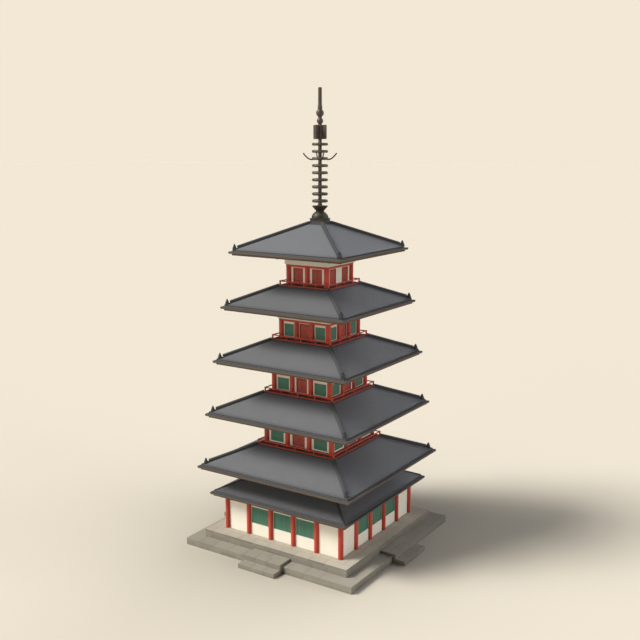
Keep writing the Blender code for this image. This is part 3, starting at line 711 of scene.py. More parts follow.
def stairs():
    for quarter, side in enumerate(("front", "right", "back", "left")):
        sh = Shape(20 + quarter)
        sh.turn = quarter
        # lower step: slabs laid across, then the second step over them
        thirds = (-STAIR_HALF, -0.47, 0.55, STAIR_HALF)
        for left, right in zip(thirds[:-1], thirds[1:]):
            block(sh, (left + 0.0025, right - 0.0025), (STAIR_MID + 0.0, STAIR_FRONT - 0.002),
                  (0.0, STAIR_H1), 0.012)
        for left, right in zip((-STAIR_HALF, 0.05), (0.05, STAIR_HALF)):
            block(sh, (left + 0.0025, right - 0.0025), (POD_LOW + 0.004, STAIR_MID - 0.004),
                  (0.0, STAIR_H1 - 0.002), 0.006)
        halves = (-STAIR_HALF, -0.62, 0.41, STAIR_HALF)
        for left, right in zip(halves[:-1], halves[1:]):
            block(sh, (left + 0.0025, right - 0.0025), (6.66, STAIR_MID - 0.0),
                  (POD_LOW_TOP + 0.002, STAIR_H2), 0.012)
            block(sh, (left + 0.0025, right - 0.0025), (POD_LOW + 0.004, STAIR_MID - 0.002),
                  (STAIR_H1 + 0.001, POD_LOW_TOP + 0.004), 0.006)
        for left, right in zip((-STAIR_HALF, 0.12), (0.12, STAIR_HALF)):
            block(sh, (left + 0.0025, right - 0.0025), (POD_UP + 0.003, 6.654),
                  (POD_LOW_TOP + 0.002, STAIR_H2 - 0.001), 0.010)
        block(sh, (-STAIR_HALF + 0.02, STAIR_HALF - 0.02), (POD_LOW + 0.02, STAIR_FRONT - 0.02),
              (0.005, STAIR_H1 - 0.02), 0.004, mat=1, tone=0.3)
        block(sh, (-STAIR_HALF + 0.02, STAIR_HALF - 0.02), (POD_LOW + 0.02, STAIR_MID - 0.02),
              (STAIR_H1 - 0.03, STAIR_H2 - 0.02), 0.004, mat=1, tone=0.3)
        sh.turn = 0
        sh.build("stair_%s_stones" % side, [STONE, CORE], ["stair_" + side])


# ----------------------------------------------------------------------- roofs
ROLL = [(-0.066, -0.055, 0), (-0.066, -0.0052, 1), (-0.050, -0.0040, 1), (-0.026, -0.0030, 1),
        (0.0, -0.0026, 1), (0.026, -0.0030, 1), (0.050, -0.0040, 1), (0.066, -0.0052, 1),
        (0.066, -0.055, 0)]


def tile_side(sh, k):
    """The tiled field of one side: pan tiles, cover tiles and their ends."""
    tip, tip_z = TIP[k], TIP_Z[k]
    edge, edge_z = tip - TILE_BACK, tip_z + TILE_Z
    top = roof_top(k) + (0.0 if k in (0, 5) else 0.055)
    cos, sin = COS[k], SIN[k]
    full = (edge - top) / cos
    count = round(2.0 * edge / 0.25)
    pitch = 2.0 * edge / count

    def placed(u0):
        def place(a, s, h):
            return np.stack([u0 + a, -(edge - s * cos + h * sin), edge_z + s * sin + h * cos],
                            axis=1)
        return place

    def limits(u, margin):
        return np.minimum(full, (edge - np.abs(u) - margin) / cos)

    half = pitch / 2.0
    pan = [(-half + 0.004, -0.055, 0), (-half + 0.004, -0.0065, 1), (-half * 0.55, -0.0085, 1),
           (0.0, -0.0095, 1), (half * 0.55, -0.0085, 1), (half - 0.004, -0.0065, 1),
           (half - 0.004, -0.055, 0)]
    for i in range(count):
        u0 = -edge + pitch * (i + 0.5)
        stop = limits(u0 + np.array([p[0] for p in pan]), 0.015)
        if stop.max() > 0.16:
            stop = np.maximum(stop, 0.06)
            stepped(sh, pan, stop, 0.30, 0.0025, placed(u0))
    for i in range(1, count):
        u0 = -edge + pitch * i
        stop = limits(np.full(len(ROLL), u0), 0.06)
        if stop.min() > 0.12:
            stepped(sh, ROLL, stop, 0.30, 0.0025, placed(u0), grow=0.03)
        # round end tile at the eave
        if abs(u0) < edge - 0.1:
            place = placed(u0)
            ring, co = 12, []
            for s, r in ((-0.020, 0.042), (-0.024, 0.038), (-0.022, 0.050), (-0.014, 0.054),
                         (0.02, 0.054)):
                t = 2.0 * math.pi * np.arange(ring) / ring
                co.append(place(r * np.sin(t), np.full(ring, s), r * np.cos(t) - 0.044))
            sh.add(np.concatenate(co), tube_faces(len(co), ring), 1, 0)


def roof_bed(sh, k):
    """Boards and clay under the tiles, which show only as the roof's edge."""
    tip, tip_z = TIP[k], TIP_Z[k]
    edge = tip - TILE_BACK
    top, z_top = roof_top(k), tile_level(k, roof_top(k))
    seat = tip - 0.42
    seat_z = tile_level(k, seat) - TILE_THICK
    inner = 0.14 if k == 5 else (top if k == 0 else top - 0.33)
    low = tip_z + 0.0305
    profile = [(top, z_top - 0.045), (edge - 0.035, tip_z + TILE_Z - 0.052), (edge - 0.012, low + 0.045),
               (edge - 0.004, low + 0.030), (edge - 0.004, low), (seat, low), (seat, seat_z),
               (inner, z_top - TILE_THICK)]
    if k:
        profile.append((inner, z_top - 0.045))
    mitred(sh, profile, gap=0.0, tone=0.35, mat=1)


def roof_head(sh, k):
    """Flat tiles along the top of the roof."""
    top, z_top = roof_top(k), tile_level(k, roof_top(k))
    if k == 0:
        mitred(sh, [(top - 0.028, z_top - 0.05), (top + 0.16, z_top - 0.105), (top + 0.165, z_top - 0.045),
                    (top + 0.09, z_top + 0.0), (top + 0.02, z_top + 0.030), (top - 0.028, z_top + 0.030)],
               splits=spaced(top, 0.55)[1:-1])
    elif k < 5:
        mitred(sh, [(top - 0.02, z_top - 0.06), (top + 0.105, z_top - 0.085), (top + 0.11, z_top - 0.03),
                    (top + 0.085, z_top - 0.004), (top - 0.02, z_top - 0.004)],
               splits=spaced(top, 0.45)[1:-1])
    else:
        mitred(sh, cut_rect(0.15, CURB_HALF - 0.015, z_top - 0.06, CURB_Z - 0.045, 0.006))
        mitred(sh, cut_rect(0.15, CURB_HALF, CURB_Z - 0.047, CURB_Z, 0.012))
        mitred(sh, [(top - 0.03, z_top + 0.02), (top - 0.03, z_top - 0.05), (top + 0.10, z_top - 0.09),
                    (top + 0.10, z_top - 0.03), (top + 0.03, z_top + 0.02)])


def hip(sh, k):
    """The ridge over one hip, with its end tile."""
    tip = TIP[k]
    edge = tip - TILE_BACK
    if k == 0:
        low, high = edge - 0.05, roof_top(0) + 0.06
    else:
        low = tip - 0.47 - 0.03 * (5 - k)
        high = PLATE_HALF + 0.016 if k == 5 else BALCONY[k] + 0.014

    def point(half, lift=0.0):
        return np.array([half, -half, tile_level(k, half) + lift])

    start, end = point(low), point(high)
    run = end - start
    length = float(np.linalg.norm(run))
    run /= length
    side = np.array([1.0, 1.0, 0.0]) / math.sqrt(2.0)
    normal = np.cross(side, run)
    if normal[2] < 0:
        normal = -normal

    def placed(origin):
        def place(a, s, h):
            return (origin + np.outer(s, run) + np.outer(a, side) + np.outer(h, normal))
        return place

    lean = run[2] / math.hypot(run[0], run[1])     # keeps the top end upright

    def layer(width, h0, h1, size, shift, cut=0.006):
        marks = [0.0]
        s = size * shift
        while s < length - 0.2:
            marks.append(s)
            s += size
        marks.append(length + lean * h0)
        for a, b in zip(marks[:-1], marks[1:]):
            beam(sh, start + run * (a + 0.0015), start + run * (b - 0.0015), width, h1 - h0, cut,
                 (h0 + h1) / 2.0, normal)

    if k == 0:
        layer(0.16, -0.06, 0.008, 0.50, 0.7)
        cap = [(-0.060, 0.000, 0), (-0.060, 0.010, 1), (-0.045, 0.022, 1), (-0.020, 0.030, 1),
               (0.020, 0.030, 1), (0.045, 0.022, 1), (0.060, 0.010, 1), (0.060, 0.000, 0)]
        stepped(sh, cap, length, 0.32, 0.006, placed(start))
        return
    layer(0.230, -0.075, 0.045, 0.50, 0.6)
    layer(0.212, 0.043, 0.080, 0.50, 1.0)
    layer(0.222, 0.078, 0.098, 0.50, 0.6, 0.004)
    cap = [(-0.100, 0.090, 0), (-0.100, 0.120, 1), (-0.086, 0.148, 1), (-0.052, 0.166, 1),
           (0.0, 0.172, 1), (0.052, 0.166, 1), (0.086, 0.148, 1), (0.100, 0.120, 1),
           (0.100, 0.090, 0)]
    stepped(sh, cap, length - 0.03 + lean * 0.10, 0.32, 0.005, placed(start + run * 0.03),
            mat=1, grow=0.03)

    # cover tiles from the corner up to the end tile
    corner = point(edge - 0.02)
    reach = float(np.linalg.norm(point(low + 0.02) - corner))
    small = [(-0.075, -0.06, 0), (-0.075, -0.010, 1), (-0.055, 0.008, 1), (0.0, 0.018, 1),
             (0.055, 0.008, 1), (0.075, -0.010, 1), (0.075, -0.06, 0)]
    stepped(sh, small, reach, 0.30, 0.004, placed(corner))

    # end tile: a shield with a raised face and a boss, facing out on the diagonal
    half = tip - 0.32 - 0.03 * (5 - k)
    origin = point(half)
    out = np.array([1.0, -1.0, 0.0]) / math.sqrt(2.0)
    sh.at(origin, side, out, (0.0, 0.0, 1.0))
    outline = [(0.150, -0.08), (0.152, 0.02), (0.132, 0.080), (0.130, 0.130), (0.116, 0.190),
               (0.094, 0.245), (0.070, 0.290), (0.047, 0.332), (0.026, 0.352)]

    def plate(scale, z_mid, y0, y1, thin, flat):
        pts = [(w * scale, z_mid + (z - z_mid) * scale) for w, z in outline]
        ring = pts + [(-w, z) for w, z in reversed(pts)]
        co = []
        for y, s in ((y0, thin), (y0 + 0.012, 1.0), (y1 - flat, 1.0), (y1, thin)):
            for w, z in ring:
                narrow = 1.0 - 2.2 * max(z, 0.0)
                co.append((w * s, y * narrow, z_mid + (z - z_mid) * s))
        sh.add(co, tube_faces(4, len(ring)), 0, 2)
    plate(1.0, 0.12, -0.165, 0.125, 0.93, 0.012)
    plate(0.74, 0.11, 0.100, 0.140, 0.88, 0.012)
    co = []
    for y, r in ((0.060, 0.045), (0.110, 0.042), (0.121, 0.028), (0.126, 0.010)):
        for i in range(12):
            t = 2.0 * math.pi * i / 12
            co.append((r * math.cos(t), y - 0.006, 0.12 + r * math.sin(t)))
    sh.add(co, tube_faces(4, 12), 0, 2)
    sh.basis = None


def roofs():
    names = ["skirt_roof"] + ["roof_%d" % k for k in range(1, 6)]
    for k, node in enumerate(names):
        sh = Shape(100 + k)
        sh.around(tile_side, k)
        sh.around(roof_bed, k)
        sh.build(node + "_tiles", [{0: TILE_SKIRT_SHADED, 5: TILE_TOP_LIT}.get(k, TILE), TILE_END], [node], 50.0)
        sh = Shape(120 + k)
        sh.around(roof_head, k)
        sh.around(hip, k)
        sh.build(node + "_ridges", [RIDGE_TILE_SHADED, RIDGE_CAP_SHADED], [node], 50.0)


# ----------------------------------------------------------------------- eaves
def eave_side(sh, k):
    tip, z = TIP[k], TIP_Z[k]
    c = SKIRT_C if k == 0 else BODY_C[k - 1]
    wall = c if k == 0 else c + FRIEZE_OUT
    marks = spaced(tip - 0.3, 3.1)[1:-1]
    shifted = [m + 0.7 for m in marks[:-1]]
    # edge boards under a tiled ledge
    mitred(sh, cut_rect(tip - 0.43, tip, z + 0.008, z + 0.030, 0.003), marks, mat=2)
    mitred(sh, cut_rect(tip - 0.075, tip - 0.006, z - 0.066, z + 0.008, 0.004), shifted)
    mitred(sh, cut_rect(tip - 0.090, tip - 0.016, z - 0.110, z - 0.066, 0.004), marks, mat=1)
    # boards over the flying rafters, and the beam that carries them
    mitred(sh, cut_rect(tip - 0.46, tip - 0.06, z - 0.050, z - 0.030, 0.003), shifted)
    mitred(sh, cut_rect(tip - 0.285, tip - 0.19, z - 0.235, z - 0.100, 0.006), marks)
    mitred(sh, cut_rect(tip - 0.52, tip - 0.19, z - 0.100, z - 0.050, 0.004), shifted)
    # boards over the base rafters
    inner = c - 0.10
    mitred(sh, cut_rect(inner, tip - 0.27, z - 0.172, z - 0.150, 0.003),
           [m for m in spaced(tip, 1.6)[1:-1] if abs(m) < inner - 0.05])
    mitred(sh, cut_rect(inner, inner + 0.09, z - 0.239, z - 0.172, 0.003))
    count = int(2.0 * (tip - 0.16) / 0.235)
    pitch = 2.0 * (tip - 0.16) / count
    for i in range(count + 1):
        u = -(tip - 0.16) + pitch * i
        if abs(u) < tip - 0.14:
            beam(sh, (u, -(tip - 0.30), z - 0.079), (u, -(tip - 0.045), z - 0.079), 0.085, 0.058,
                 0.004)
        start = max(inner + 0.05, abs(u) + 0.06)
        if start < tip - 0.40:
            beam(sh, (u, -start, z - 0.206), (u, -(tip - 0.215), z - 0.206), 0.092, 0.068, 0.005)


def corner_rafter(sh, k):
    tip, z = TIP[k], TIP_Z[k]
    c = SKIRT_C if k == 0 else BODY_C[k - 1]
    wall = c - 0.05
    far = tip - 0.20
    beam(sh, (wall, -wall, z - 0.205), (far, -far, z - 0.205), 0.165, 0.070, 0.006)
    beam(sh, (tip - 0.42, -(tip - 0.42), z - 0.082), (tip - 0.045, -(tip - 0.045), z - 0.082),
         0.135, 0.056, 0.005)


def arm_outline(o0, o1, z0, z1):
    """A bracket arm seen from the side, with a rounded lower end."""
    high = z1 - z0
    return [(o0, z1), (o0, z0), (o1 - 1.5 * high, z0), (o1 - 0.85 * high, z0 + 0.06 * high),
            (o1 - 0.38 * high, z0 + 0.22 * high), (o1 - 0.10 * high, z0 + 0.48 * high),
            (o1, z0 + 0.72 * high), (o1, z1)]


def bearing_block(sh, u, out, z0, z1, half, mat=0):
    """A square block, drawn in at its foot."""
    mid = z0 + 0.45 * (z1 - z0)
    foot = half * 0.72
    co = []
    for z, h in ((z1, half - 0.004), (z1 - 0.004, half), (mid, half), (mid - 0.010, half - 0.006),
                 (z0, foot)):
        for su, so in ((-1, -1), (1, -1), (1, 1), (-1, 1)):
            co.append((u + su * h, -out + so * h, z))
    sh.add(co, tube_faces(5, 4), mat, 0)


def bracket(sh, u, base, z, reach):
    """Two tiers of arms with their blocks, out from the frieze at base."""
    # lower arm and the block on its end
    outline = arm_outline(base, base + 0.52 * reach / 0.82, z - 0.580, z - 0.445)
    extruded(sh, outline, u - 0.085, u + 0.085)
    end = base + 0.52 * reach / 0.82 - 0.115
    bearing_block(sh, u, end, z - 0.445, z - 0.350, 0.115)
    bearing_block(sh, u, base + 0.125, z - 0.445, z - 0.350, 0.115)
    # cross arm over the lower blocks, along the wall
    for half in (0.32,):
        pts = arm_outline(0.0, half, z - 0.350, z - 0.262)
        right = [(p[0], p[1]) for p in pts]
        co_outline = [(u - o, zz) for o, zz in right[1:]][::-1] + [(u + o, zz) for o, zz in right[2:]]
        count = len(co_outline)
        co = [(uu, -o, zz) for o in (end - 0.060, end + 0.060) for uu, zz in co_outline]
        sh.add(co, tube_faces(2, count), 0, 0)
    # upper arm out to the purlin
    extruded(sh, arm_outline(base, base + reach, z - 0.350, z - 0.240), u - 0.070, u + 0.070)


def brackets_side(sh, k):
    c, bays, z = BODY_C[k - 1], BODY_BAYS[k - 1], TIP_Z[k]
    base, reach = c + FRIEZE_OUT + 0.0005, 0.82
    for i in range(bays + 1):
        bracket(sh, -c + 2.0 * c / bays * i, base, z, reach)
    # purlin under the rafters
    mitred(sh, cut_rect(base + 0.645, base + 0.775, z - 0.365, z - 0.240, 0.010),
           [-c + 2.0 * c / bays * i for i in range(1, bays)])
    mitred(sh, cut_rect(base + 0.002, base + 0.055, z - 0.300, z - 0.240, 0.006))


def brackets_corner(sh, k):
    """The arms on the diagonal."""
    c, z = BODY_C[k - 1], TIP_Z[k]
    r = math.sqrt(2.0)
    axes = ((1 / r, 1 / r, 0.0), (-1 / r, 1 / r, 0.0), (0.0, 0.0, 1.0))
    sh.at((0.0, 0.0, 0.0), *axes)
    start = (c + FRIEZE_OUT) * r + 0.03
    bracket(sh, 0.0, start, z, (c + 0.99) * r - start)
    sh.basis = None


def eaves():
    for k in range(6):
        node = "eaves_%d" % k if k else "skirt_eaves"
        sh = Shape(200 + k)
        sh.around(eave_side, k)
        sh.around(corner_rafter, k)
        sh.build(node + "_rafters", [BROWN, WARM, LEDGE], [node])
        if k:
            sh = Shape(220 + k)
            sh.around(brackets_side, k)
            sh.around(brackets_corner, k)
            sh.build(node + "_brackets", [BROWN], [node])


# --------------------------------------------------------------- doors, windows
def lattice(sh, u, half, z0, z1, face, pitch=0.095, bar=0.046):
    """A window with upright bars: frame, bars and the boards behind them."""
    w = 0.055
    depth = (face - 0.080, face - 0.002)
    block(sh, (u - half + 0.001, u - half + w), depth, (z0 + 0.001, z1 - 0.001), 0.005, along=2)
    block(sh, (u + half - w, u + half - 0.001), depth, (z0 + 0.001, z1 - 0.001), 0.005, along=2)
    block(sh, (u - half + w, u + half - w), depth, (z1 - w, z1 - 0.001), 0.005)
    block(sh, (u - half + w, u + half - w), (depth[0], face - 0.004), (z0 + 0.001, z0 + w), 0.005)
    inner = half - w
    count = max(3, round(2.0 * inner / pitch))
    step = 2.0 * inner / count
    for i in range(count):
        x = u - inner + step * (i + 0.5)
        r = step * 0.485
        co = []
        for z in (z0 + w - 0.01, z1 - w + 0.01):
            for dx, do in ((-r, 0.0), (0.0, -r), (r, 0.0), (0.0, r)):
                co.append((x + dx, -(face - 0.030) + do * 0.45, z))
        sh.add(co, tube_faces(2, 4), 0, 2)
    boards = max(3, round(2.0 * half / 0.24))
    for i in range(boards):
        a = u - half + 2.0 * half * i / boards
        b = u - half + 2.0 * half * (i + 1) / boards
        block(sh, (a + 0.001, b - 0.001), (face - 0.110, face - 0.081), (z0 + 0.001, z1 - 0.001),
              0.003, mat=1, along=2)


def casing(sh, u, half, z0, z1, face, wide=0.042, mat=0):
    """A thin frame that laps over the plaster round an opening."""
    depth = (face + 0.0012, face + 0.018)
    for s in (-1, 1):
        a, b = sorted((u + s * (half - 0.004), u + s * (half + wide)))
        block(sh, (a, b), depth, (z0 - 0.004, z1 + wide * 0.6), 0.004, mat=mat, along=2)
    block(sh, (u - half + 0.005, u + half - 0.005), depth, (z1 - 0.004, z1 + wide * 0.6), 0.004, mat=mat)


def door(sh, u, half, z0, z1, face):
    """A pair of board doors in a frame, with battens and pulls."""
    w = 0.045
    depth = (face - 0.085, face - 0.004)
    for s in (-1, 1):
        a, b = sorted((u + s * (half - 0.001), u + s * (half - w)))
        block(sh, (a, b), depth, (z0 + 0.001, z1 - 0.001), 0.005, mat=1, along=2)
    block(sh, (u - half + w, u + half - w), depth, (z1 - w, z1 - 0.001), 0.005, mat=1)
    block(sh, (u - half + w, u + half - w), (depth[0], face - 0.004), (z0 + 0.001, z0 + 0.040),
          0.005, mat=1)
    low, top = z0 + 0.045, z1 - w - 0.004
    leaf = half - w - 0.004
    for s in (-1, 1):
        x0, x1 = sorted((u + s * 0.004, u + s * leaf))
        boards = max(2, round(leaf / 0.15))
        for i in range(boards):
            a = x0 + (x1 - x0) * i / boards
            b = x0 + (x1 - x0) * (i + 1) / boards
            block(sh, (a + 0.001, b - 0.001), (face - 0.085, face - 0.052), (low, top), 0.004,
                  mat=1, along=2)
        for share in (0.10, 0.50, 0.90):
            mid = low + (top - low) * share
            block(sh, (x0 + 0.012, x1 - 0.012), (face - 0.052, face - 0.030),
                  (mid - 0.032, mid + 0.032), 0.005, mat=1)
            for j in range(3):
                x = x0 + (x1 - x0) * (0.18 + 0.32 * j)
                co = []
                for y, r in ((0.0, 0.014), (0.006, 0.013), (0.011, 0.007)):
                    for i in range(8):
                        t = 2.0 * math.pi * i / 8
                        co.append((x + r * math.cos(t), -(face - 0.030) - y, mid + r * math.sin(t)))
                sh.add(co, tube_faces(3, 8), 2, 0)
        # ring pull beside the meeting edge
        px, pz = u + s * 0.055, low + (top - low) * 0.36
        path = [(px + 0.024 * math.cos(t), -(face - 0.044), pz + 0.024 * math.sin(t))
                for t in np.linspace(0.5 * math.pi + 0.25, 2.5 * math.pi - 0.25, 14)]
        sweep(sh, path, 0.0045, 6, 2)
        block(sh, (px - 0.010, px + 0.010), (face - 0.053, face - 0.038),
              (pz + 0.012, pz + 0.036), 0.003, mat=2)


def bay_centres(c, bays):
    step = 2.0 * c / bays
    return [-c + step * (i + 0.5) for i in range(bays)]


# ---------------------------------------------------------------- skirt storey
def skirt():
    ceiling = TIP_Z[0] - 0.24
    beam_low = ceiling - 0.18
    sh = Shape(300)

    def columns(sh):
        for i in range(5):
            u = -SKIRT_C + 2.0 * SKIRT_C / 5 * i
            column(sh, u, SKIRT_C, SKIRT_R, POD_TOP, ceiling - 0.031, 32)
    sh.around(columns)
    sh.build("skirt_columns", [RED], ["skirt_posts"])

    sh = Shape(301)
    posts = [-SKIRT_C + 2.0 * SKIRT_C / 5 * i for i in range(1, 5)]

    def beams(sh):
        mitred(sh, cut_rect(SKIRT_C - 0.14, SKIRT_C + 0.14, beam_low, ceiling - 0.001, 0.010), posts)
    sh.around(beams)
    sh.build("skirt_beams", [RED], ["skirt_posts"])

    sh = Shape(302)

    def windows(sh):
        for u in bay_centres(SKIRT_C, 5)[1:-1]:
            lattice(sh, u, SKIRT_WIN_HALF, SKIRT_WIN[0], SKIRT_WIN[1], SKIRT_C)
            casing(sh, u, SKIRT_WIN_HALF, SKIRT_WIN[0], SKIRT_WIN[1], SKIRT_C)
    sh.around(windows)
    sh.build("skirt_window_bars", [GREEN, GREEN_BACK_SHADED], ["skirt_windows"])


# --------------------------------------------------------------------- storeys
def balcony_boards(sh, half, inner, z0, z1):
    pitch = 0.19
    marks = spaced(half, pitch)
    for a, b in zip(marks[:-1], marks[1:]):
        a, b = a + 0.0025, b - 0.0025
        ia, ib = max(inner, abs(a) + 0.002), max(inner, abs(b) + 0.002)
        edge = half - 0.004 + sh.rng.uniform(-0.003, 0.003)
        if min(ia, ib) > edge - 0.02:
            continue
        ia, ib = min(ia, edge - 0.004), min(ib, edge - 0.004)
        ring = [(a, -ia), (b, -ib), (b, -edge), (a, -edge)]
        co = [(u, y, z) for z in (z0, z1 - sh.rng.uniform(0.0, 0.002)) for u, y in ring]
        sh.add(co, tube_faces(2, 4), 0, 1)


def storey(k):
    c, bays, tip_z = BODY_C[k - 1], BODY_BAYS[k - 1], TIP_Z[k]
    deck = deck_level(k)
    floor_top = deck + FLOOR_THICK
    beam_low, beam_top = tip_z - 1.10, tip_z - 0.93
    half = BALCONY[k - 1] - RAIL - 0.004
    step = 2.0 * c / bays
    marks = [-c + step * i for i in range(1, bays)]

    # floor: boards over a rim
    sh = Shape(400 + k)
    sh.around(balcony_boards, half, c - 0.14, floor_top - 0.032, floor_top)

    def rim(sh):
        mitred(sh, cut_rect(half - 0.13, half - 0.012, deck + 0.001, floor_top - 0.033, 0.006))
        mitred(sh, cut_rect(c - 0.25, c - 0.145, deck + 0.001, floor_top - 0.001, 0.006))
        for i in range(9):
            u = -half + 0.35 + (2.0 * half - 0.70) * i / 8
            if abs(u) < c - 0.2:
                block(sh, (u - 0.035, u + 0.035), (c - 0.145, half - 0.13),
                      (deck + 0.001, floor_top - 0.034), 0.005, along=1)
    sh.around(rim)
    block(sh, (-c + 0.25, c - 0.25), (-c + 0.25, c - 0.25), (deck + 0.002, floor_top - 0.001),
          0.005, tone=0.4)
    sh.build("balcony_%d_boards" % k, [FLOOR], ["balcony_floor_%d" % k])

    # railing
    rail_c = BALCONY[k - 1] - RAIL / 2.0
    top = deck + RAIL_TOP
    sh = Shape(420 + k)

    def railing(sh):
        over = 0.05
        beam(sh, (-rail_c - over, -rail_c, top), (rail_c + over, -rail_c, top), 0.078, 0.076, 0.018)
        # the lower rail takes the darker red: painted shade
        beam(sh, (-rail_c - 0.035, -rail_c, deck + 0.041), (rail_c + 0.035, -rail_c, deck + 0.041),
             0.078, 0.078, 0.008, mat=1)
        for i in range(4):
            u = -rail_c + 2.0 * rail_c / 4 * i
            if i:
                block(sh, (u - 0.031, u + 0.031), (rail_c - 0.031, rail_c + 0.031),
                      (deck + 0.070, top - 0.030), 0.005, along=2)
            else:
                w = 0.045
                block(sh, (u - w, u + w), (rail_c - w, rail_c + w), (deck + 0.003, top + 0.044),
                      0.008, along=2)
                block(sh, (u - w + 0.004, u + w - 0.004), (rail_c - w + 0.004, rail_c + w - 0.004),
                      (top + 0.044, top + 0.054), 0.004, along=2)
    sh.around(railing)
    sh.build("railing_%d_rails" % k, [RED, RED_RAIL_SHADED], ["railing_%d" % k])

    # frame: columns, beams and sills
    sh = Shape(440 + k)

    def columns(sh):
        for i in range(bays):
            # the top storey has no middle post on its left and right sides
            if k < 5 or i == 0 or sh.turn % 2 == 0:
                column(sh, -c + step * i, c, POST_R, floor_top, beam_top - 0.031)
    sh.around(columns)
    sh.build("storey_%d_columns" % k, [RED], ["storey_%d_posts" % k])
    sh = Shape(460 + k)

    def beams(sh):
        mitred(sh, cut_rect(c - 0.14, c + 0.14, beam_low, beam_top, 0.010), marks)
        # the sill takes the dark floor wood: painted shade where it shows between the rails
        mitred(sh, cut_rect(c - 0.14, c + 0.12, floor_top + 0.002, floor_top + SILL_HIGH, 0.008), marks,
               mat=1)
    sh.around(beams)
    sh.build("storey_%d_beams" % k, [RED, FLOOR], ["storey_%d_posts" % k])

    # doors and windows
    door_low, door_top = floor_top + SILL_HIGH + 0.02, tip_z + DOOR_TOP
    node = "storey_%d_doors_windows" % k
    sh = Shape(480 + k)

    def doors(sh):
        for i, u in enumerate(bay_centres(c, bays)):
            if bays == 2 or i == 1:
                door(sh, u, DOOR_HALF[k - 1], door_low, door_top, c)
    sh.around(doors)
    sh.build("storey_%d_doors" % k, [DOOR, DOOR, IRON], [node])
    if bays == 3:
        sh = Shape(500 + k)

        def windows(sh):
            for i, u in enumerate(bay_centres(c, bays)):
                if i != 1:
                    lattice(sh, u, WIN_HALF[k - 1], tip_z + WIN_LOW[k - 1],
                            tip_z + WIN_TOP[k - 1], c, 0.085, 0.042)
        sh.around(windows)
        sh.build("storey_%d_window_bars" % k, [GREEN_UP_LIT, GREEN_UP_LIT], [node])


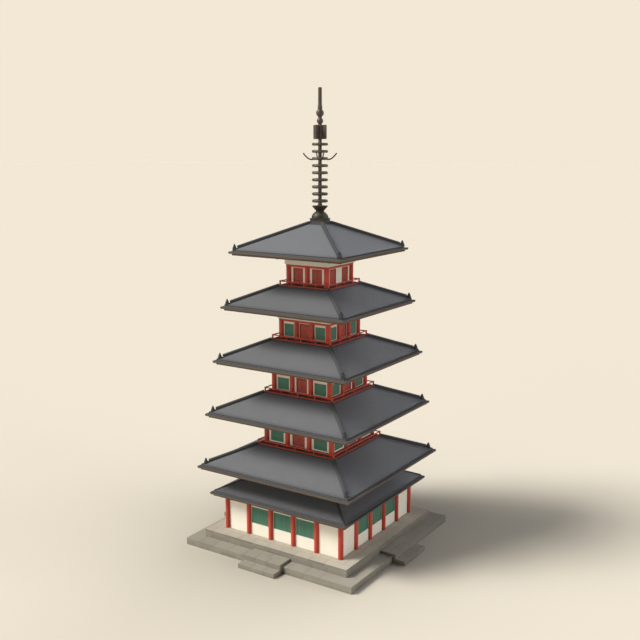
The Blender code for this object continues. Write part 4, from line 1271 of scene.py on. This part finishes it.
# ----------------------------------------------------------------------- spire
def spire():
    # base: plate, dome and lotus
    sh = Shape(600)
    low, top = CURB_Z + 0.0003, 23.527
    for z0, z1, half, cut in ((low, low + 0.045, PLATE_HALF, 0.010), (low + 0.045, top - 0.060, 0.510, 0.004),
                              (top - 0.060, top, PLATE_HALF, 0.012)):
        block(sh, (-half, half), (-half, half), (z0, z1), cut, along=2)
    for quarter in range(4):
        sh.turn = quarter
        for u in (-0.24, 0.24):
            block(sh, (u - 0.19, u + 0.19), (0.500, 0.517), (low + 0.075, top - 0.085), 0.004)
    sh.turn = 0
    dome_top = 24.04
    dome = [(0.0, dome_top)]
    dome += [(0.595 * math.sin(math.radians(a)) ** 0.92,
              top + (dome_top - top) * math.cos(math.radians(a)))
             for a in (12, 22, 32, 42, 52, 62, 70, 78, 84)]
    dome += [(0.595, top + 0.030), (0.595, top + 0.004), (0.585, top - 0.004)]
    lathe(sh, dome, 48)
    lathe(sh, [(0.598, top + 0.140), (0.590, top + 0.158), (0.570, top + 0.150), (0.570, top + 0.110),
               (0.600, top + 0.118)], 48, hoop=True)
    # lotus: two rows of petals that open upwards
    petals = 16

    def ripple(depth, shift):
        def wave(t, index):
            bend = abs(math.cos(petals / 2.0 * t + shift))
            share = WEIGHT[index]
            return 1.0 + depth * share * (bend - 0.55), 0.055 * share * (bend - 0.6)
        return wave
    outer = [(0.0, 24.325), (0.34, 24.325), (0.475, 24.355), (0.530, 24.378), (0.543, 24.370),
             (0.525, 24.318), (0.470, 24.245), (0.395, 24.165), (0.325, 24.090), (0.285, 24.045),
             (0.290, 24.020), (0.295, 24.000), (0.0, 24.000)]
    WEIGHT = [0, 0, 0.6, 1.0, 1.0, 0.6, 0.3, 0.12, 0, 0, 0, 0, 0]
    lathe(sh, outer, 96, wave=ripple(0.10, 0.0))
    inner = [(0.0, 24.338), (0.22, 24.338), (0.335, 24.368), (0.385, 24.390), (0.397, 24.382),
             (0.375, 24.332), (0.350, 24.308), (0.0, 24.308)]
    WEIGHT = [0, 0, 0.4, 0.6, 0.6, 0.3, 0, 0]
    lathe(sh, inner, 96, wave=ripple(0.10, math.pi / 2.0))
    lathe(sh, [(0.292, 24.062), (0.306, 24.048), (0.306, 24.030), (0.292, 24.016), (0.276, 24.030),
               (0.276, 24.048)], 32, hoop=True)
    sh.build("spire_dome_and_lotus", [BRONZE], ["spire_base"], 40.0)

    # shaft with nine hoops on spokes
    sh = Shape(601)
    count, z_top, z_low = 9, 28.62, 24.72
    gap = (z_top - z_low) / (count - 1)
    lathe(sh, [(0.120, 29.964), (0.127, 29.955), (0.127, 24.358), (0.120, 24.351)], 24)
    lathe(sh, [(0.135, 24.52), (0.165, 24.48), (0.180, 24.42), (0.195, 24.372), (0.195, 24.352),
               (0.11, 24.352), (0.11, 24.52)], 24, hoop=True)
    for number in range(count):
        z = z_top - gap * number
        ring = []
        for i in range(12):
            t = 2.0 * math.pi * i / 12
            ring.append((0.482 + 0.0835 * math.cos(t), z + 0.097 * math.sin(t)))
        lathe(sh, ring, 48, hoop=True)
        lathe(sh, [(0.410, z + 0.030), (0.393, z + 0.042), (0.378, z + 0.030), (0.378, z - 0.030),
                   (0.393, z - 0.042), (0.410, z - 0.030)], 48, hoop=True)
        lathe(sh, [(0.120, z + 0.115), (0.146, z + 0.108), (0.164, z + 0.070), (0.172, z + 0.030),
                   (0.172, z - 0.030), (0.164, z - 0.070), (0.146, z - 0.108), (0.120, z - 0.115)],
              24, hoop=True)
        for spoke in range(8):
            t = math.pi * spoke / 4.0
            x, y = math.cos(t), math.sin(t)
            beam(sh, (0.15 * x, 0.15 * y, z), (0.44 * x, 0.44 * y, z), 0.042, 0.055, 0.010)
    sh.build("spire_shaft_and_hoops", [BRONZE_WORN], ["spire_rings"], 40.0)

    # four horns on the diagonals, from the third hoop
    sh = Shape(602)
    z = z_top - 2.0 * gap - 0.055
    reach = [(0.46, 0.0), (0.60, -0.01), (0.74, 0.02), (0.88, 0.10), (1.02, 0.23), (1.12, 0.335),
             (1.185, 0.43)]
    path = curve_points([(r, 0.0, h) for r, h in reach], 22)
    for quarter in range(4):
        t = math.radians(45.0 + 90.0 * quarter)
        pts = [(p[0] * math.cos(t), p[0] * math.sin(t), z + p[2]) for p in path]
        radii = [0.050 - 0.008 * (i / 21.0) ** 1.5 for i in range(21)] + [0.032]
        sweep(sh, pts, radii, 10)
        x, y = math.cos(t), math.sin(t)
        bud = Vector((1.155 * x, 1.155 * y, z + 0.390))
        sweep(sh, [bud + Vector((x, y, 1.35)) * s for s in (-0.034, -0.014, 0.0, 0.014, 0.024)],
              [0.040, 0.052, 0.054, 0.042, 0.016], 10)
    sh.build("spire_horns", [BRONZE], ["spire_rings"], 40.0)

    # water-flame: crossed plates with a rim and curling ribs
    sh = Shape(603)
    f_low, f_top = 28.967, 29.934
    for quarter in range(4):
        sh.turn = quarter
        sh.at((0.0, 0.0, 0.0), (0.0, -1.0, 0.0), (1.0, 0.0, 0.0), (0.0, 0.0, 1.0))
        # x runs out along the plate, y across its thickness
        edge = [(0.10, f_low), (0.50, f_low), (0.530, f_low + 0.015), (0.545, f_low + 0.05),
                (0.545, f_top - 0.05), (0.530, f_top - 0.015), (0.50, f_top), (0.10, f_top)]
        co = [(x, y, z) for y in (-0.009, 0.009) for x, z in edge]
        sh.add(co, tube_faces(2, len(edge)), 0, 2)
        rim = curve_points([(0.13, 0.0, f_low + 0.024), (0.46, 0.0, f_low + 0.024),
                            (0.515, 0.0, f_low + 0.045), (0.522, 0.0, f_low + 0.12),
                            (0.522, 0.0, f_top - 0.12), (0.515, 0.0, f_top - 0.045),
                            (0.46, 0.0, f_top - 0.024), (0.13, 0.0, f_top - 0.024)], 48)
        sweep(sh, rim, 0.023, 8)
        for base_z, size, turn in ((f_low + 0.24, 0.155, 1.0), (f_low + 0.49, 0.150, -1.0),
                                   (f_low + 0.73, 0.140, 1.0)):
            for x_mid in (0.235, 0.405):
                curl = []
                for i in range(18):
                    t = i / 17.0
                    r = size * 0.52 * (1.0 - 0.78 * t)
                    a = turn * (0.6 + 5.2 * t) + (0.0 if x_mid < 0.3 else 1.6)
                    curl.append((x_mid + r * math.cos(a) * 0.95, 0.0, base_z + r * math.sin(a)))
                sweep(sh, curl, [0.020 - 0.010 * i / 17.0 for i in range(18)], 6)
        sh.basis = None
    sh.turn = 0
    lathe(sh, [(0.130, f_top - 0.010), (0.150, f_top - 0.012), (0.172, f_top - 0.04),
               (0.168, f_low + 0.06), (0.182, f_low + 0.03), (0.177, f_low + 0.010),
               (0.130, f_low + 0.010)], 24, hoop=True)
    sh.build("spire_water_flame", [BRONZE_WORN], ["spire_flame"], 40.0)

    # finial: small jewel, large jewel and rod
    sh = Shape(604)
    small_c, small_r, jewel_c, jewel_r = 30.20, 0.225, 30.735, 0.268
    profile = [(0.0, SPIRE_TOP), (0.105, SPIRE_TOP - 0.002), (0.120, SPIRE_TOP - 0.012),
               (0.127, SPIRE_TOP - 0.032), (0.128, SPIRE_TOP - 0.10), (0.131, 31.45),
               (0.138, 31.30), (0.152, 31.20), (0.166, 31.10), (0.170, 31.05), (0.160, 31.022),
               (0.135, 31.012)]
    profile += [(jewel_r * math.sin(math.radians(a)), jewel_c + 0.285 * math.cos(math.radians(a)))
                for a in (32, 44, 56, 68, 80, 90, 100, 112, 124, 136, 148)]
    profile += [(0.138, 30.480), (0.130, 30.450), (0.134, 30.416)]
    profile += [(small_r * math.sin(math.radians(a)), small_c + small_r * math.cos(math.radians(a)))
                for a in (38, 50, 62, 74, 86, 98, 110, 122, 134, 144)]
    profile += [(0.132, 30.010), (0.128, 29.985), (0.128, 29.968), (0.0, 29.968)]
    lathe(sh, profile, 32)
    lathe(sh, [(0.272, jewel_c + 0.018), (0.276, jewel_c), (0.272, jewel_c - 0.018),
               (0.250, jewel_c - 0.018), (0.250, jewel_c + 0.018)], 32, hoop=True)
    sh.build("spire_jewels_and_rod", [BRONZE_WORN], ["spire_finial"], 40.0)


podium()
stairs()
skirt()
for k in range(2, 6):
    storey(k)
eaves()
roofs()
spire()

# CAD nodes whose shape is right keep it, with a finish of their own
for name, obj in NODES.items():
    if obj.hide_render:
        continue
    finish = PLASTER if name.endswith("_wall") else RED
    obj.data.materials.clear()
    obj.data.materials.append(finish)

# ------------------------------------------------------------ floor and light
BACK = (0.8877, 0.8072, 0.6654)

# each light: azimuth from -Y towards +X, elevation, strength, softness, colour
WARM_LIGHT, COOL_LIGHT = (1.0, 0.975, 0.950), (0.945, 0.950, 1.0)
LIGHTS = [("key_left", 302.0, 45.0, 0.250, 22.0, WARM_LIGHT),
          ("key_front", 314.0, 45.0, 0.700, 22.0, WARM_LIGHT),
          ("key_low", 315.0, 19.0, 0.155, 24.0, WARM_LIGHT),
          ("key_high", 315.0, 62.0, 0.035, 26.0, WARM_LIGHT),
          ("front_fill", 350.0, 14.0, 0.085, 30.0, WARM_LIGHT),
          ("right_light", 90.0, 20.0, 0.115, 30.0, COOL_LIGHT),
          ("right_back_light", 120.0, 20.0, 0.175, 30.0, COOL_LIGHT),
          ("back_high_light", 150.0, 45.0, 0.062, 34.0, COOL_LIGHT),
          ("right_high_light", 95.0, 42.0, 0.020, 34.0, COOL_LIGHT),
          ("back_light", 180.0, 20.0, 0.200, 30.0, COOL_LIGHT)]
BRIGHT = 1.30
# an open floor comes out in the background's colour
FLOOR_ALBEDO = [BACK[c] / sum(BRIGHT * share * math.sin(math.radians(elevation)) * tint[c] / tint[1]
                              for _, _, elevation, share, _, tint in LIGHTS) for c in range(3)]

floor_mat = bpy.data.materials.new("plain_floor")
floor_mat.use_nodes = True
tree = floor_mat.node_tree
tree.nodes.clear()
coords = tree.nodes.new("ShaderNodeTexCoord")
grain = tree.nodes.new("ShaderNodeTexNoise")
grain.inputs["Scale"].default_value = 30.0
grain.inputs["Detail"].default_value = 2.0
tree.links.new(coords.outputs["Object"], grain.inputs["Vector"])
ramp = tree.nodes.new("ShaderNodeValToRGB")
ramp.color_ramp.elements[0].color = (*[c * 0.996 for c in FLOOR_ALBEDO], 1.0)
ramp.color_ramp.elements[1].color = (*[c * 1.004 for c in FLOOR_ALBEDO], 1.0)
tree.links.new(grain.outputs["Fac"], ramp.inputs["Fac"])


def floor_math(operation, a, b=0.0, c=0.0):
    node = tree.nodes.new("ShaderNodeMath")
    node.operation = operation
    for i, value in enumerate((a, b, c)):
        if isinstance(value, bpy.types.NodeSocket):
            tree.links.new(value, node.inputs[i])
        else:
            node.inputs[i].default_value = value
    return node.outputs[0]


# painted shade: the floor's colour is darkened close to the podium
distance = tree.nodes.new("ShaderNodeVectorMath")
distance.operation = 'LENGTH'
tree.links.new(coords.outputs["Object"], distance.inputs[0])
near = floor_math('EXPONENT', floor_math('MULTIPLY_ADD', distance.outputs["Value"], -1.0 / 5.0, 8.0 / 5.0))
dim = floor_math('MULTIPLY_ADD', floor_math('MINIMUM', near, 1.1), -0.27, 1.0)
dimmed = tree.nodes.new("ShaderNodeVectorMath")
dimmed.operation = 'SCALE'
tree.links.new(ramp.outputs["Color"], dimmed.inputs[0])
tree.links.new(dim, dimmed.inputs["Scale"])
matte = tree.nodes.new("ShaderNodeBsdfDiffuse")
tree.links.new(dimmed.outputs["Vector"], matte.inputs["Color"])
shown = tree.nodes.new("ShaderNodeOutputMaterial")
tree.links.new(matte.outputs["BSDF"], shown.inputs["Surface"])

floor_mesh = bpy.data.meshes.new("studio_floor")
reach = 1500.0
floor_mesh.from_pydata([(-reach, -reach, 0.0), (reach, -reach, 0.0), (reach, reach, 0.0),
                        (-reach, reach, 0.0)], [], [(0, 1, 2, 3)])
floor_mesh.materials.append(floor_mat)
floor = bpy.data.objects.new("studio_floor", floor_mesh)
floor.location = (0.0, 0.0, -0.002)
bpy.context.scene.collection.objects.link(floor)

world = bpy.data.worlds.new("studio")
bpy.context.scene.world = world
world.use_nodes = True
tree = world.node_tree
tree.nodes.clear()
seen = tree.nodes.new("ShaderNodeBackground")
seen.inputs["Color"].default_value = (*BACK, 1.0)
lit = tree.nodes.new("ShaderNodeBackground")
lit.inputs["Color"].default_value = (1.0, 1.0, 1.0, 1.0)
lit.inputs["Strength"].default_value = 0.0
which = tree.nodes.new("ShaderNodeLightPath")
mix = tree.nodes.new("ShaderNodeMixShader")
tree.links.new(which.outputs["Is Camera Ray"], mix.inputs["Fac"])
tree.links.new(lit.outputs["Background"], mix.inputs[1])
tree.links.new(seen.outputs["Background"], mix.inputs[2])
shown = tree.nodes.new("ShaderNodeOutputWorld")
tree.links.new(mix.outputs["Shader"], shown.inputs["Surface"])

for name, azimuth, elevation, share, softness, tint in LIGHTS:
    a, e = math.radians(azimuth), math.radians(elevation)
    toward = Vector((math.sin(a) * math.cos(e), -math.cos(a) * math.cos(e), math.sin(e)))
    data = bpy.data.lights.new(name, 'SUN')
    data.color = tint
    data.energy = math.pi * BRIGHT * share / tint[1]
    data.angle = math.radians(softness)
    lamp = bpy.data.objects.new(name, data)
    lamp.rotation_mode = 'QUATERNION'
    lamp.rotation_quaternion = toward.to_track_quat('Z', 'Y')
    lamp.location = toward * 60.0
    bpy.context.scene.collection.objects.link(lamp)

# --------------------------------------------------------------------- camera
camera_data = bpy.data.cameras.new("camera")
camera_data.lens = 51.075
camera_data.sensor_width = 36.0
camera_data.clip_start, camera_data.clip_end = 1.0, 4000.0
camera = bpy.data.objects.new("camera", camera_data)
bpy.context.scene.collection.objects.link(camera)
camera.location = (35.067, -53.551, 28.405)
camera.rotation_mode = 'QUATERNION'
camera.rotation_quaternion = (Vector((0.0, 0.0, 16.2355)) - camera.location).to_track_quat('-Z', 'Y')
bpy.context.scene.camera = camera

bpy.context.scene.view_settings.view_transform = 'Standard'
bpy.context.scene.view_settings.look = 'None'
